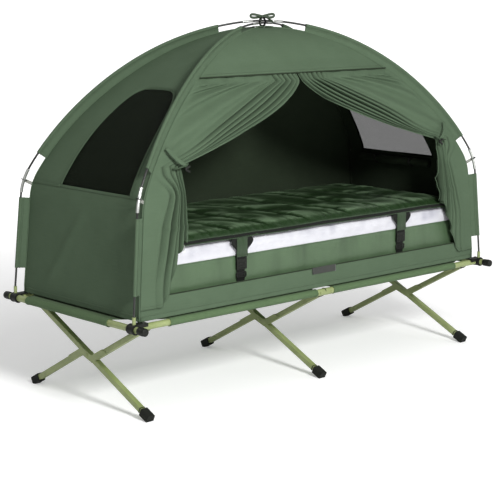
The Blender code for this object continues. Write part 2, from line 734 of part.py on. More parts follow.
def build_pivot_rivet(place, x):
    """Rivet through the bracket and both walls of the straight leg, headed at both ends."""
    plate_out = x - LEG_SIZE / 2 - GAP - BRACKET_PLATE
    near = plate_out - GAP
    far = x + LEG_SIZE / 2 + GAP
    dome = PIVOT_HEAD_HEIGHT
    profile = [(0.0, dome), (PIVOT_HEAD * 0.55, dome * 0.85), (PIVOT_HEAD, dome * 0.30),
               (PIVOT_HEAD, 0.0), (PIVOT_RADIUS, 0.0), (PIVOT_RADIUS, near - far),
               (PIVOT_HEAD, near - far), (PIVOT_HEAD, near - far - dome * 0.30),
               (PIVOT_HEAD * 0.55, near - far - dome * 0.85), (0.0, near - far - dome)]
    rivet = turned(f"pivot_rivet_{place}", profile, 20)
    rivet.matrix_world = frame_matrix((near, *PIVOT), (0, 1, 0), (-1, 0, 0))
    finish(rivet, STEEL)


def build_legs():
    for place, x in LEG_PLANES.items():
        build_straight_leg(place, x)
        build_bent_leg(place, x)
        build_pivot_rivet(place, x)


# Bed cloth

def build_bed_cloth():
    """Cloth stretched over the frame, with hems round the side rails and end bars."""
    def half_outline(sign):
        bar_low = BAR_HEM_CENTRE * sign - BAR_HEM_HALF
        bar_high = BAR_HEM_CENTRE * sign + BAR_HEM_HALF
        return [(HEM_INNER_END, -RAIL_Y), (HEM_OUTER_END, -RAIL_Y), (BAR_X, bar_low),
                (BAR_X, bar_high), (HEM_OUTER_END, RAIL_Y), (HEM_INNER_END, RAIL_Y),
                (HEM_INNER_END, RAIL_Y - CLOTH_NOTCH)]
    right = half_outline(-1)
    outline = right + [(-x, -y) for x, y in right]
    matrix = Matrix.Translation((0, 0, CLOTH_TOP - CLOTH_THICKNESS / 2))
    cloth = prism("bed_cloth", [outline], CLOTH_THICKNESS, matrix)
    hems = []
    for sign in (-1, 1):
        for edge in (-1, 1):
            y = edge * RAIL_Y
            hems.append(((sign * HEM_INNER_END, y), (sign * HEM_OUTER_END, y)))
        low = -BAR_HEM_CENTRE * sign - BAR_HEM_HALF
        hems.append(((sign * BAR_X, low), (sign * BAR_X, low + 2 * BAR_HEM_HALF)))
    for number, (start, end) in enumerate(hems):
        first = Vector((*start, RAIL_HEIGHT))
        last = Vector((*end, RAIL_HEIGHT))
        way = last - first
        side = Vector((0, 0, 1)).cross(way).normalized()
        rings = [circle_outline(HEM_RADIUS, HEM_SIDES),
                 circle_outline((TUBE_RADIUS + GAP) / math.cos(math.pi / HEM_SIDES), HEM_SIDES)]
        hem = prism(f"bed_cloth_hem_{number}", rings, way.length,
                    frame_matrix((first + last) / 2, side, way))
        boolean(cloth, hem, "UNION")
    finish(cloth, CLOTH_GREEN)


# Tent: the pole line in the diagonal plane is (distance from the middle, height)

def pole_line():
    """Upright foot, straight wall part, rounded knee and flat arch, from the socket to the top."""
    foot = np.array([POLE_FOOT, RAIL_TOP + 0.001 + GAP])
    knee = np.array([KNEE_SHARE * POLE_FOOT, KNEE_Z])
    top = np.array([0.0, APEX_Z])
    low_pull = knee + ARCH_PULL_LOW * np.array([-math.sin(KNEE_LEAN), math.cos(KNEE_LEAN)])
    top_pull = top + np.array([ARCH_PULL_TOP, 0.0])
    t = np.linspace(0.0, 1.0, 240)[:, None]
    arch = ((1 - t) ** 3 * knee + 3 * (1 - t) ** 2 * t * low_pull
            + 3 * (1 - t) * t ** 2 * top_pull + t ** 3 * top)
    upright = foot + np.array([0.0, SOCKET_HEIGHT + 0.003])
    wall_way = (upright - knee) / np.linalg.norm(upright - knee)
    below = knee + wall_way * KNEE_ROUND
    rise = np.linalg.norm(np.diff(arch, axis=0), axis=1).cumsum()
    start = int(np.searchsorted(rise, KNEE_ROUND)) + 1
    above = arch[start]
    u = np.linspace(0.0, 1.0, 24)[:, None]
    bend = (1 - u) ** 2 * below + 2 * (1 - u) * u * knee + u ** 2 * above
    v = np.linspace(0.0, 1.0, 60)[:-1, None]
    wall = upright * (1 - v) + below * v
    return np.vstack([foot, wall, bend, arch[start + 1:]])


LINE = pole_line()
WAY = np.gradient(LINE, axis=0)
WAY /= np.linalg.norm(WAY, axis=1)[:, None]
INWARD = np.stack([-WAY[:, 1], WAY[:, 0]], axis=1)
RUN = np.concatenate([[0.0], np.linalg.norm(np.diff(LINE, axis=0), axis=1).cumsum()])
FLAP = FLAP_AT_TOP + (FLAP_WIDTH - FLAP_AT_TOP) * np.clip(LINE[:, 0] / (0.55 * POLE_FOOT), 0, 1) ** 1.2
SEAM = LINE + INWARD * FLAP[:, None]


def run_at_height(height, line=LINE):
    return float(np.interp(height, line[:, 1], RUN))


def run_at_share(share):
    return float(np.interp(-share * POLE_FOOT, -LINE[:, 0], RUN))


def at_run(values, run):
    return np.array([np.interp(run, RUN, values[:, 0]), np.interp(run, RUN, values[:, 1])])


def in_space(point, sx, sy):
    """Place in the diagonal plane through the corner with signs sx and sy."""
    return np.array([sx * DIAGONAL[0] * point[0], sy * DIAGONAL[1] * point[0], point[1]])


def seam_rows():
    """Rows of the end walls: run along the pole, with the gaps in the flaps between them."""
    marks = [run_at_height(TENT_BOTTOM, SEAM), run_at_height(FIN_LOW), run_at_height(FIN_HIGH),
             run_at_height(SLEEVE_LOW), run_at_share(SLEEVE_TOP_SHARE), run_at_share(ROOF_END_SHARE)]
    parts = (1, 2, 4, 10, 2)
    rows = []
    flap_rows = []
    for index, count in enumerate(parts):
        runs = np.linspace(marks[index], marks[index + 1], count + 1)
        if index:
            runs = runs[1:]
        if index in (1, 3):
            flap_rows += range(len(rows) - 1, len(rows) - 1 + count)
        rows += list(runs)
    return rows, set(flap_rows)


ROWS, FLAP_ROWS = seam_rows()


def crossing_lift(distance, sign):
    """One pole passes over the other at the top."""
    return sign * (POLE_RADIUS + GAP) * math.exp(-(distance / 0.16) ** 2)


def flap_places(run, sx, sy):
    """From the seam out to the pole and round it, as the fabric of a pole sleeve goes."""
    pole = at_run(LINE, run)
    inward = at_run(INWARD, run)
    pole_place = Vector(in_space(pole, sx, sy))
    pole_place.z += crossing_lift(pole[0], -sx * sy)
    inward_way = Vector((sx * DIAGONAL[0] * inward[0], sy * DIAGONAL[1] * inward[0], inward[1]))
    side_way = Vector((-sy * DIAGONAL[1], sx * DIAGONAL[0], 0.0)) * (sx * sy)
    places = []
    for step in range(SLEEVE_STEPS + 1):
        angle = SLEEVE_TURN * step / SLEEVE_STEPS
        spoke = inward_way * math.cos(angle) + side_way * math.sin(angle)
        places.append(tuple(pole_place + spoke * SLEEVE_RADIUS))
    return places


def window_outline(sign, inset=0.0):
    """Arched window, (y, z), wider at its foot."""
    steps = 10
    low = WINDOW_LOW + inset
    tall = WINDOW_HEIGHT - 2 * inset
    right = []
    for step in range(steps + 1):
        share = math.sin(HALF * step / steps)
        half = (WINDOW_HALF - inset) * (1 - WINDOW_TAPER * share) * (1 - share ** 4) ** 0.25
        right.append((half, low + tall * share))
    left = [(-y, z) for y, z in reversed(right[:-1])]
    centre = sign * WINDOW_CENTRE
    return [(centre + y, z) for y, z in right + left]


def window_prism(name, sign, inset):
    matrix = frame_matrix((sign * 0.75, 0, 0), (0, 1, 0), (1, 0, 0))
    return prism(name, [window_outline(sign, inset)], 0.6, matrix)


def build_end_walls():
    """End walls, sewn in one with the flaps and sleeves that hold them to the poles."""
    across = 4
    flap_columns = SLEEVE_STEPS + 1
    for end, sx in SIDES.items():
        grid = []
        pane = []
        for run in ROWS:
            front = Vector(in_space(at_run(SEAM, run), sx, -1))
            rear = Vector(in_space(at_run(SEAM, run), sx, 1))
            middle = [tuple(front.lerp(rear, step / across)) for step in range(across + 1)]
            grid.append(list(reversed(flap_places(run, sx, -1))) + middle + flap_places(run, sx, 1))
            pane.append(middle)
        last_column = 2 * flap_columns + across

        def no_flap(row, column):
            in_flap = column < flap_columns or column >= last_column - flap_columns
            return in_flap and row not in FLAP_ROWS

        wall = sheet(f"{end}_end_wall", np.array(grid), FABRIC, no_flap)
        boolean(wall, window_prism(f"{end}_window_hole", sx, 0.0), "DIFFERENCE")
        finish(wall, TENT_GREEN)
        mesh_pane = sheet(f"{end}_window_mesh", np.array(pane), WINDOW_MESH)
        boolean(mesh_pane, window_prism(f"{end}_window_edge", sx, GAP), "INTERSECT")
        finish(mesh_pane, MESH_BLACK)


def edge_inset(run):
    """How far a long panel stops short of the seam, to clear the end wall and its flap."""
    way = at_run(SEAM, run + 0.004) - at_run(SEAM, run - 0.004)
    rise = abs(way[1])
    steep_end = rise / math.hypot(rise, DIAGONAL[0] * way[0])
    steep_long = rise / math.hypot(rise, DIAGONAL[1] * way[0])
    clear = FABRIC / 2 + 4 * GAP
    to_flap = (clear - DIAGONAL[0] * FABRIC / 2 * steep_long) / DIAGONAL[1]
    level = math.sqrt((1 - steep_end ** 2) * (1 - steep_long ** 2))
    to_wall = (clear - FABRIC / 2 * level) / max(steep_end, 0.05)
    return max(to_flap, to_wall, clear)


def gore(sy, runs):
    """Rows of a front or back panel between the end walls."""
    across = 4
    grid = []
    for run in runs:
        corner = in_space(at_run(SEAM, run), 1, sy)
        half = max(corner[0] - edge_inset(run), 0.002)
        grid.append([(half * (2 * step / across - 1), corner[1], corner[2])
                     for step in range(across + 1)])
    return np.array(grid)


def build_long_walls():
    """Back wall, the fixed roof part over the door, and the sill under it."""
    finish(sheet("back_wall", gore(1, ROWS), FABRIC), TENT_GREEN)
    visor_start = run_at_height(VISOR_Z, SEAM)
    visor_runs = [visor_start] + [run for run in ROWS if run > visor_start + 0.01]
    finish(sheet("door_visor", gore(-1, visor_runs), FABRIC), TENT_GREEN)
    sill_runs = [run_at_height(TENT_BOTTOM, SEAM), run_at_height(SILL_TOP, SEAM)]
    finish(sheet("door_sill", gore(-1, sill_runs), FABRIC), TENT_GREEN)


def curtain_inner_edge(height):
    """How far the gathered edge of a tied-back curtain is from the middle of the door."""
    if height >= TIE_Z:
        share = min((height - TIE_Z) / (CURTAIN_MEET_Z - TIE_Z), 1.0)
        return TIE_X * (1 - share) ** 1.5 + 0.008
    drop = min((TIE_Z - height) / (TIE_Z - SILL_TOP), 1.0)
    edge = TIE_X + (CURTAIN_LOW_X - TIE_X) * drop ** 2
    if height < CURTAIN_HEM + HEM_ROUND:
        part = (height - CURTAIN_HEM) / HEM_ROUND
        edge += HEM_ROUND * (1 - math.sqrt(max(1 - (1 - part) ** 2, 0.0)))
    return edge


def build_curtains():
    """Door curtains: sewn in at the corners, gathered at the ties, hanging past the sill."""
    heights = [CURTAIN_HEM, CURTAIN_HEM + HEM_ROUND * 0.25, CURTAIN_HEM + HEM_ROUND]
    heights += list(np.linspace(0.52, TIE_Z, 6))
    heights += [0.93, 0.965, 1.00, 1.035, 1.07, 1.105, 1.14, CURTAIN_MEET_Z, VISOR_Z - 2 * GAP]
    across = 6
    for end, sx in SIDES.items():
        grid = []
        for height in heights:
            seam = at_run(SEAM, run_at_height(height, SEAM))
            corner = in_space(seam, 1, -1)
            y = corner[1] - FABRIC / 2 - GAP - CURTAIN_THICKNESS / 2
            outer = corner[0] - CURTAIN_SEAM
            inner = curtain_inner_edge(height)
            grid.append([(sx * (outer + (inner - outer) * step / across), y, height)
                         for step in range(across + 1)])
        finish(sheet(f"door_curtain_{end}", np.array(grid), CURTAIN_THICKNESS), TENT_GREEN)


def pole_runs(start, end, longest):
    count = max(2, math.ceil((end - start) / longest))
    return list(np.linspace(start, end, count + 1))


def ferrule_runs():
    return pole_runs(run_at_height(FERRULE_LOW), run_at_height(FERRULE_HIGH), 0.014)


def pole_places(first, sign):
    """Places along a whole pole, from its foot at the corner signs given to the opposite one."""
    fins_end = run_at_height(FIN_HIGH) + 0.0001
    runs = [RUN[0], RUN[1]] + [run for run in ROWS if RUN[1] + 0.01 < run <= fins_end]
    runs += ferrule_runs()
    runs += [run for run in ROWS if run > runs[-1] + 0.01]
    runs += pole_runs(runs[-1], RUN[-1], 0.04)[1:]
    half = []
    for run in runs:
        point = at_run(LINE, run)
        place = in_space(point, *first)
        place[2] += crossing_lift(point[0], sign)
        half.append(place)
    other = [np.array([-p[0], -p[1], p[2]]) for p in reversed(half[:-1])]
    return [tuple(p) for p in half + other]


def build_poles():
    """Two poles from corner to corner, with a metal ferrule at each knee."""
    for name, first, sign in (("tent_pole_upper", (-1, 1), 1), ("tent_pole_lower", (-1, -1), -1)):
        pole = swept_tube(name, pole_places(first, sign), POLE_RADIUS, POLE_SIDES)
        finish(pole, POLE_BLACK)
    for end, sx in SIDES.items():
        for side, sy in (("front", -1), ("rear", 1)):
            runs = ferrule_runs()
            places = [tuple(in_space(at_run(LINE, run), sx, sy)) for run in runs]
            outer = POLE_RADIUS + GAP * 2 + FERRULE_WALL
            ferrule = swept_tube(f"knee_ferrule_{side}_{end}", places, outer, 10)
            runs = [runs[0] - 0.02] + runs + [runs[-1] + 0.02]
            places = [tuple(in_space(at_run(LINE, run), sx, sy)) for run in runs]
            bore = swept_tube(f"{ferrule.name}_bore", places, POLE_RADIUS + GAP * 2, 10)
            boolean(ferrule, bore, "DIFFERENCE")
            finish(ferrule, STEEL)


def build_apex_tie():
    """Patch over the top of the tent, a loop round the crossing poles and a ribbon bow."""
    patch_low = at_run(SEAM, ROWS[-1])[1] + FABRIC / 2 + GAP
    matrix = Matrix.Translation((0, 0, patch_low + PATCH_THICKNESS / 2))
    outline = rounded_outline(rectangle(PATCH_LENGTH, PATCH_WIDTH), 0.015, 4)
    tie = prism("apex_tie", [outline], PATCH_THICKNESS, matrix)
    steps = 20
    loop_places = []
    for step in range(steps + 1):
        angle = -HALF + 2 * math.pi * step / steps
        loop_places.append((0.0, LOOP_RADIUS * math.cos(angle), APEX_Z + LOOP_RADIUS * math.sin(angle)))
    ring = torus("apex_tie_loop", LOOP_RADIUS, LOOP_WIRE)
    ring.matrix_world = frame_matrix((0, 0, APEX_Z), (0, 1, 0), (1, 0, 0))
    boolean(tie, ring, "UNION")
    bow = bow_prism("apex_tie_bow", APEX_Z + LOOP_RADIUS + BOW_LOBE * 0.55)
    boolean(tie, bow, "UNION")
    finish(tie, TENT_GREEN)


def torus(name, radius, wire):
    bpy.ops.mesh.primitive_torus_add(major_radius=radius, minor_radius=wire,
                                     major_segments=24, minor_segments=8)
    ring = bpy.context.object
    ring.name = name
    for group in list(ring.users_collection):
        group.objects.unlink(ring)
    PARTS.objects.link(ring)
    return ring


def bow_prism(name, height):
    """Flat ribbon bow seen from the front: two open lobes and a knot between them."""
    half = BOW_LENGTH / 2
    steps = 24
    outer = []
    for step in range(steps):
        angle = 2 * math.pi * step / steps
        x = half * math.cos(angle)
        waist = 0.45 + 0.55 * abs(math.cos(angle)) ** 0.5
        outer.append((x, BOW_LOBE * math.sin(angle) * waist + 0.006 * (x / half) ** 2))
    holes = []
    for sign in (-1, 1):
        centre = sign * half * 0.52
        hole = []
        for step in range(12):
            angle = 2 * math.pi * step / 12
            x = centre + half * 0.34 * math.cos(angle)
            lift = 0.006 * (x / half) ** 2
            hole.append((x, (BOW_LOBE - BOW_WALL) * 0.62 * math.sin(angle) + lift))
        holes.append(hole)
    matrix = frame_matrix((0, 0, height), (1, 0, 0), (0, -1, 0))
    return prism(name, [outer] + holes, BOW_WIDTH, matrix)


# Bedding

def build_mattress():
    """Air mattress with rounded edges, hollow, with its valve at the left end."""
    mattress = block("air_mattress",
                     (-MATTRESS_LENGTH / 2, MATTRESS_FRONT, MATTRESS_BOTTOM),
                     (MATTRESS_LENGTH / 2, -MATTRESS_FRONT, MATTRESS_TOP))
    bevel(mattress, MATTRESS_ROUND, MATTRESS_STEPS, 30)
    skin = Vector((MATTRESS_SKIN, MATTRESS_SKIN, MATTRESS_SKIN))
    half = Vector((MATTRESS_LENGTH, MATTRESS_WIDTH, MATTRESS_HEIGHT)) / 2
    middle = Vector((0, 0, MATTRESS_BOTTOM + MATTRESS_HEIGHT / 2))
    air = block("air_mattress_air", middle - half + skin, middle + half - skin)
    bevel(air, MATTRESS_ROUND - MATTRESS_SKIN, MATTRESS_STEPS, 30)
    boolean(mattress, air, "DIFFERENCE")
    valve = cylinder_between("air_mattress_valve", (-half.x - 0.01, 0, MATTRESS_BOTTOM + VALVE_HEIGHT),
                             (-half.x + 0.02, 0, MATTRESS_BOTTOM + VALVE_HEIGHT), VALVE_RADIUS, 16)
    boolean(mattress, valve, "DIFFERENCE")
    finish(mattress, MATTRESS_GREEN)


def quilt_outline():
    """Section of the quilt across the bed, (y, z): flat on top, resting on the mattress's edges."""
    side = MATTRESS_WIDTH / 2
    low = MATTRESS_TOP + GAP
    edge = side + QUILT_OVERHANG
    drop_z = low - QUILT_DROP
    bend = (MATTRESS_ROUND + GAP) / math.cos(HALF / MATTRESS_STEPS / 2)
    centre = (side - MATTRESS_ROUND, MATTRESS_TOP - MATTRESS_ROUND)
    inner = []
    for step in range(MATTRESS_STEPS + 1):
        angle = HALF * (step + 0.5) / MATTRESS_STEPS
        inner.append((centre[0] + bend * math.cos(angle), centre[1] + bend * math.sin(angle)))
    inner = [point for point in inner if point[1] > drop_z and point[1] <= low + 0.00001]
    first = (centre[0] + math.sqrt(bend ** 2 - (drop_z - centre[1]) ** 2), drop_z)
    outer = [(edge, drop_z)]
    for step in range(6):
        angle = HALF * step / 5
        outer.append((edge - QUILT_ROUND * (1 - math.cos(angle)),
                      low + QUILT_THICKNESS - QUILT_ROUND * (1 - math.sin(angle))))
    right = list(reversed(inner)) + [first] + outer
    left = [(-y, z) for y, z in reversed(right)]
    return right + left


def build_quilt():
    """Quilted cover on the mattress, with the two strap flaps sewn to its front edge."""
    matrix = frame_matrix((0, 0, 0), (0, 1, 0), (1, 0, 0))
    quilt = prism("quilt", [quilt_outline()], QUILT_LENGTH, matrix)
    edge = -MATTRESS_WIDTH / 2 - QUILT_OVERHANG
    for place, x in STRAP_PLACES.items():
        flap = block(f"quilt_flap_{place}",
                     (x - FLAP_STRAP_WIDTH / 2, edge + 0.0008 - FLAP_STRAP_THICKNESS / 2, FLAP_STRAP_LOW),
                     (x + FLAP_STRAP_WIDTH / 2, edge + 0.0008 + FLAP_STRAP_THICKNESS / 2,
                      MATTRESS_TOP - QUILT_DROP + 0.012))
        boolean(quilt, flap, "UNION")
    finish(quilt, QUILT_GREEN)


def build_buckles():
    """Side-release buckles: a socket on webbing round the mattress, and a two-pronged tongue."""
    back = MATTRESS_FRONT - GAP
    for place, x in STRAP_PLACES.items():
        front = back - WEBBING_THICKNESS
        webbing = block(f"buckle_socket_{place}",
                        (x - WEBBING_WIDTH / 2, front, MATTRESS_BOTTOM + MATTRESS_ROUND * 0.4),
                        (x + WEBBING_WIDTH / 2, back, SOCKET_TOP - SOCKET_TALL * 0.5))
        shell_back = back - 0.0006
        shell = block(f"{webbing.name}_shell",
                      (x - SOCKET_WIDTH / 2, shell_back - SOCKET_DEEP, SOCKET_TOP - SOCKET_TALL),
                      (x + SOCKET_WIDTH / 2, shell_back, SOCKET_TOP))
        bevel(shell, 0.0015, 2)
        boolean(webbing, shell, "UNION")
        inner = (SOCKET_WIDTH / 2 - SOCKET_SHELL, SOCKET_DEEP - 2 * SOCKET_SHELL)
        room = block(f"{webbing.name}_room",
                     (x - inner[0], shell_back - SOCKET_DEEP + SOCKET_SHELL,
                      SOCKET_TOP - PRONG_LENGTH - 0.003),
                     (x + inner[0], shell_back - SOCKET_SHELL, SOCKET_TOP + 0.01))
        boolean(webbing, room, "DIFFERENCE")
        slots = block(f"{webbing.name}_slots",
                      (x - SOCKET_WIDTH, shell_back - SOCKET_DEEP + SOCKET_SHELL,
                       SOCKET_TOP - PRONG_LENGTH * 0.85),
                      (x + SOCKET_WIDTH, shell_back - SOCKET_SHELL, SOCKET_TOP - PRONG_LENGTH * 0.35))
        boolean(webbing, slots, "DIFFERENCE")
        finish(webbing, BLACK_PLASTIC)
        build_tongue(place, x, shell_back)


def build_tongue(place, x, shell_back):
    """Tongue with two sprung prongs in the socket, hung on a short piece of webbing."""
    y_back = shell_back - SOCKET_SHELL - GAP
    y_front = shell_back - SOCKET_DEEP + SOCKET_SHELL + GAP
    bar_low = SOCKET_TOP + GAP
    half = SOCKET_WIDTH / 2 - SOCKET_SHELL - GAP
    outline = [(-half, bar_low), (-half + 0.001, bar_low - PRONG_LENGTH * 0.8),
               (-half + 0.003, bar_low - PRONG_LENGTH), (-half + PRONG_WIDTH, bar_low - PRONG_LENGTH * 0.8),
               (-half + PRONG_WIDTH + 0.001, bar_low)]
    mirrored = [(-a, z) for a, z in reversed(outline)]
    guide = 0.004
    fork = outline + [(-guide, bar_low), (-guide + 0.001, bar_low - PRONG_LENGTH * 0.7),
                      (guide - 0.001, bar_low - PRONG_LENGTH * 0.7), (guide, bar_low)] + mirrored
    fork += [(SOCKET_WIDTH / 2, bar_low), (SOCKET_WIDTH / 2, bar_low + TONGUE_TALL - PRONG_LENGTH),
             (-SOCKET_WIDTH / 2, bar_low + TONGUE_TALL - PRONG_LENGTH), (-SOCKET_WIDTH / 2, bar_low)]
    slot = rectangle(WEBBING_WIDTH, 0.005, (0.0, bar_low + TONGUE_TALL - PRONG_LENGTH - 0.007))
    matrix = frame_matrix((x, (y_back + y_front) / 2, 0), (1, 0, 0), (0, -1, 0))
    tongue = prism(f"buckle_tongue_{place}", [fork, slot], y_back - y_front, matrix)
    finish(tongue, BLACK_PLASTIC)


# Joint axes: the pieces that move hang on these empties

def axis_empty(name, place):
    empty = bpy.data.objects.new(name, None)
    empty.empty_display_size = 0.05
    empty.location = place
    PARTS.objects.link(empty)
    return empty


def hang(empty, names):
    bpy.context.view_layer.update()
    for name in names:
        obj = bpy.data.objects[name]
        obj.parent = empty
        obj.matrix_parent_inverse = empty.matrix_world.inverted()


def build_axes():
    fold = axis_empty("leg_fold_axis", (0, *PIVOT))
    moving = [f"{stem}_{place}" for place in LEG_PLANES
              for stem in ("bent_leg_upper", "bent_leg_lower", "crank_bracket", "rear_foot")]
    moving += ["front_rail_left", "front_rail_right", "front_rail_hinge"]
    hang(fold, moving)
    lift = axis_empty("deck_lift_axis", (0, 0, RAIL_TOP))
    deck = [f"end_bar_{end}" for end in SIDES]
    deck += [f"{stem}_{side}_{end}" for end in SIDES for side in ("front", "rear")
             for stem in ("end_cap", "corner_fitting")]
    deck += ["air_mattress", "quilt"] + [f"buckle_socket_{place}" for place in STRAP_PLACES]
    hang(lift, deck)
    tent_lift = axis_empty("tent_lift_axis", (0, 0, TENT_BOTTOM))
    tent = ["left_end_wall", "right_end_wall", "left_window_mesh", "right_window_mesh", "back_wall",
            "door_visor", "door_sill", "door_curtain_left", "door_curtain_right",
            "tent_pole_upper", "tent_pole_lower", "apex_tie"]
    tent += [f"knee_ferrule_{side}_{end}" for end in SIDES for side in ("front", "rear")]
    hang(tent_lift, tent)
    for place, x in STRAP_PLACES.items():
        release = axis_empty(f"buckle_axis_{place}", (x, MATTRESS_FRONT, SOCKET_TOP))
        hang(release, [f"buckle_tongue_{place}"])


build_rails()
build_end_bars()
build_end_caps()
build_corner_fittings()
build_legs()
build_bed_cloth()
build_end_walls()
build_long_walls()
build_curtains()
build_poles()
build_apex_tie()
build_mattress()
build_quilt()
build_buckles()
build_axes()
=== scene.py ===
import json
import math

import bpy
import numpy as np
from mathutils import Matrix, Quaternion, Vector

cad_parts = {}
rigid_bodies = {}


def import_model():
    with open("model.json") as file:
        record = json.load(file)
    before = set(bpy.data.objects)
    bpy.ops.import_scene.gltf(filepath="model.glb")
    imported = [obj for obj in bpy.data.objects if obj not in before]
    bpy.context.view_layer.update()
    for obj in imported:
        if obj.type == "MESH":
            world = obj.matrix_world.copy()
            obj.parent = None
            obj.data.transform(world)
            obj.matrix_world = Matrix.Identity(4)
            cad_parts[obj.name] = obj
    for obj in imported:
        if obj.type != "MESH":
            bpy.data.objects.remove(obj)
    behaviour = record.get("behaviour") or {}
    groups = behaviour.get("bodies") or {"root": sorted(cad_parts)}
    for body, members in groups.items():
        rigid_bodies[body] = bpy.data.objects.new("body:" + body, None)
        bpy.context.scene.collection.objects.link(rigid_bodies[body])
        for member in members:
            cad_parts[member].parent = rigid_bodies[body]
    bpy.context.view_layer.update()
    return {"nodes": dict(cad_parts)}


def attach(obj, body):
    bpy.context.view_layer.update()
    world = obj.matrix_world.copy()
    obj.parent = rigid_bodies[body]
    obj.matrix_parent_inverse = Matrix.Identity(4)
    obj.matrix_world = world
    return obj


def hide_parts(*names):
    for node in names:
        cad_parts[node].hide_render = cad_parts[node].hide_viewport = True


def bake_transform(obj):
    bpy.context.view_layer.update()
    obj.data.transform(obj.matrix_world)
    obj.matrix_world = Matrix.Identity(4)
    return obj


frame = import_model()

for old in [o for o in bpy.data.objects if o.name in ("Cube", "Light", "Camera")]:
    bpy.data.objects.remove(old)      # what a new file comes with
turn = 2 * math.pi
print("frame loaded:", len(frame["nodes"]), "nodes")


# Colour, node and mesh helpers

def hexToLinear(hexColour):
    # sRGB hex to linear light
    values = [int(hexColour[i:i + 2], 16) / 255 for i in (1, 3, 5)]
    linear = [v / 12.92 if v <= 0.04045 else ((v + 0.055) / 1.055) ** 2.4 for v in values]
    return (*linear, 1.0)


def addNode(tree, kind, settings=None, links=None):
    # one shader node with its settings and what feeds its sockets: a socket, or a node by its first output
    node = tree.nodes.new("ShaderNode" + kind)
    for key, value in (settings or {}).items():
        if isinstance(key, int) or key in node.inputs:
            node.inputs[key].default_value = value
        else:
            setattr(node, key, value)
    for key, source in (links or {}).items():
        tree.links.new(getattr(source, "outputs", [source])[0], node.inputs[key])
    return node


def addNoise(tree, place, scale, detail, **more):
    return addNode(tree, "TexNoise", {"Scale": scale, "Detail": detail, **more}, {"Vector": place})


def addRange(tree, source, low, high, start=0.0, end=1.0):
    # start to end of the source becomes low to high
    return addNode(tree, "MapRange", {"From Min": start, "From Max": end, "To Min": low, "To Max": high},
                   {"Value": source})


def addMix(tree, share, base, over):
    # from the base, a hex colour or a node, to the hex colour over it
    mix = addNode(tree, "MixRGB", {"Color2": hexToLinear(over)}, {"Fac": share})
    if isinstance(base, str):
        mix.inputs["Color1"].default_value = hexToLinear(base)
    else:
        tree.links.new(base.outputs[0], mix.inputs["Color1"])
    return mix


def addBump(tree, height, strength, distance, **more):
    return addNode(tree, "Bump", {"Strength": strength, "Distance": distance}, {"Height": height, **more})


def newMaterial(name, flat=False):
    # material, its tree, and where its textures lie: in the piece's own space or on the cloth laid flat
    material = bpy.data.materials.new(name)
    material.use_nodes = True
    tree = material.node_tree
    tree.nodes.clear()
    if flat:
        return material, tree, addNode(tree, "UVMap", {"uv_map": "flat"}).outputs[0]
    return material, tree, addNode(tree, "TexCoord").outputs["Object"]


def closeMaterial(tree, settings, links):
    shader = addNode(tree, "BsdfPrincipled", settings, links)
    addNode(tree, "OutputMaterial", None, {"Surface": shader})


def ease(values, start, end):
    # 0 before start, 1 after end, smooth between them
    t = np.clip((values - start) / (end - start), 0, 1)
    return t * t * (3 - 2 * t)


def ripples(a, b, seed, count, shortest, longest, lean=1.0):
    # sum of sines over (a, b) with random directions, lengths and phases; lean stretches them along b
    draw = np.random.default_rng(seed)
    total = np.zeros(np.broadcast(a, b).shape)
    for _ in range(count):
        length = shortest * (longest / shortest) ** draw.random()
        angle, phase = draw.random() * math.pi, draw.random() * turn
        wave = a * math.cos(angle) + b * math.sin(angle) / lean
        total += np.sin(turn * wave / length + phase) * (length / longest) ** 0.8
    return total / math.sqrt(count)


def unit(vectors):
    return vectors / np.maximum(np.linalg.norm(vectors, axis=-1, keepdims=True), 1e-12)


def pointsOf(x, y, z):
    # places from three coordinates, each a number or an array
    return np.stack(np.broadcast_arrays(x, y, z), -1)


def ringAngles(count):
    # angles once round, as a column
    return np.linspace(0, turn, count, endpoint=False)[:, None]


def runAlong(path):
    # distance of each place of a path from its start
    return np.concatenate([[0], np.linalg.norm(np.diff(path, axis=0), axis=1).cumsum()])


def gridQuads(rows, columns, wrapRows=False, wrapColumns=False):
    index = np.arange(rows * columns).reshape(rows, columns)
    if wrapRows:
        index = np.vstack([index, index[:1]])
    if wrapColumns:
        index = np.hstack([index, index[:, :1]])
    return np.stack([index[:-1, :-1], index[:-1, 1:], index[1:, 1:], index[1:, :-1]], -1).reshape(-1, 4)


def endCaps(rows, columns):
    # the polygons that close a tube's first and last ring
    return [np.arange(columns)[::-1], np.arange(columns) + (rows - 1) * columns]


def faceWays(places, quads):
    # middle and normal of each quad, the normal as long as twice the area
    corners = places.reshape(-1, 3)[quads]
    return corners.mean(1), np.cross(corners[:, 2] - corners[:, 0], corners[:, 3] - corners[:, 1])


def pointOut(places, quads, outward):
    # turns the quads if most of them face away from the outward direction
    return quads[:, ::-1] if (faceWays(places, quads)[1] * outward).sum() < 0 else quads


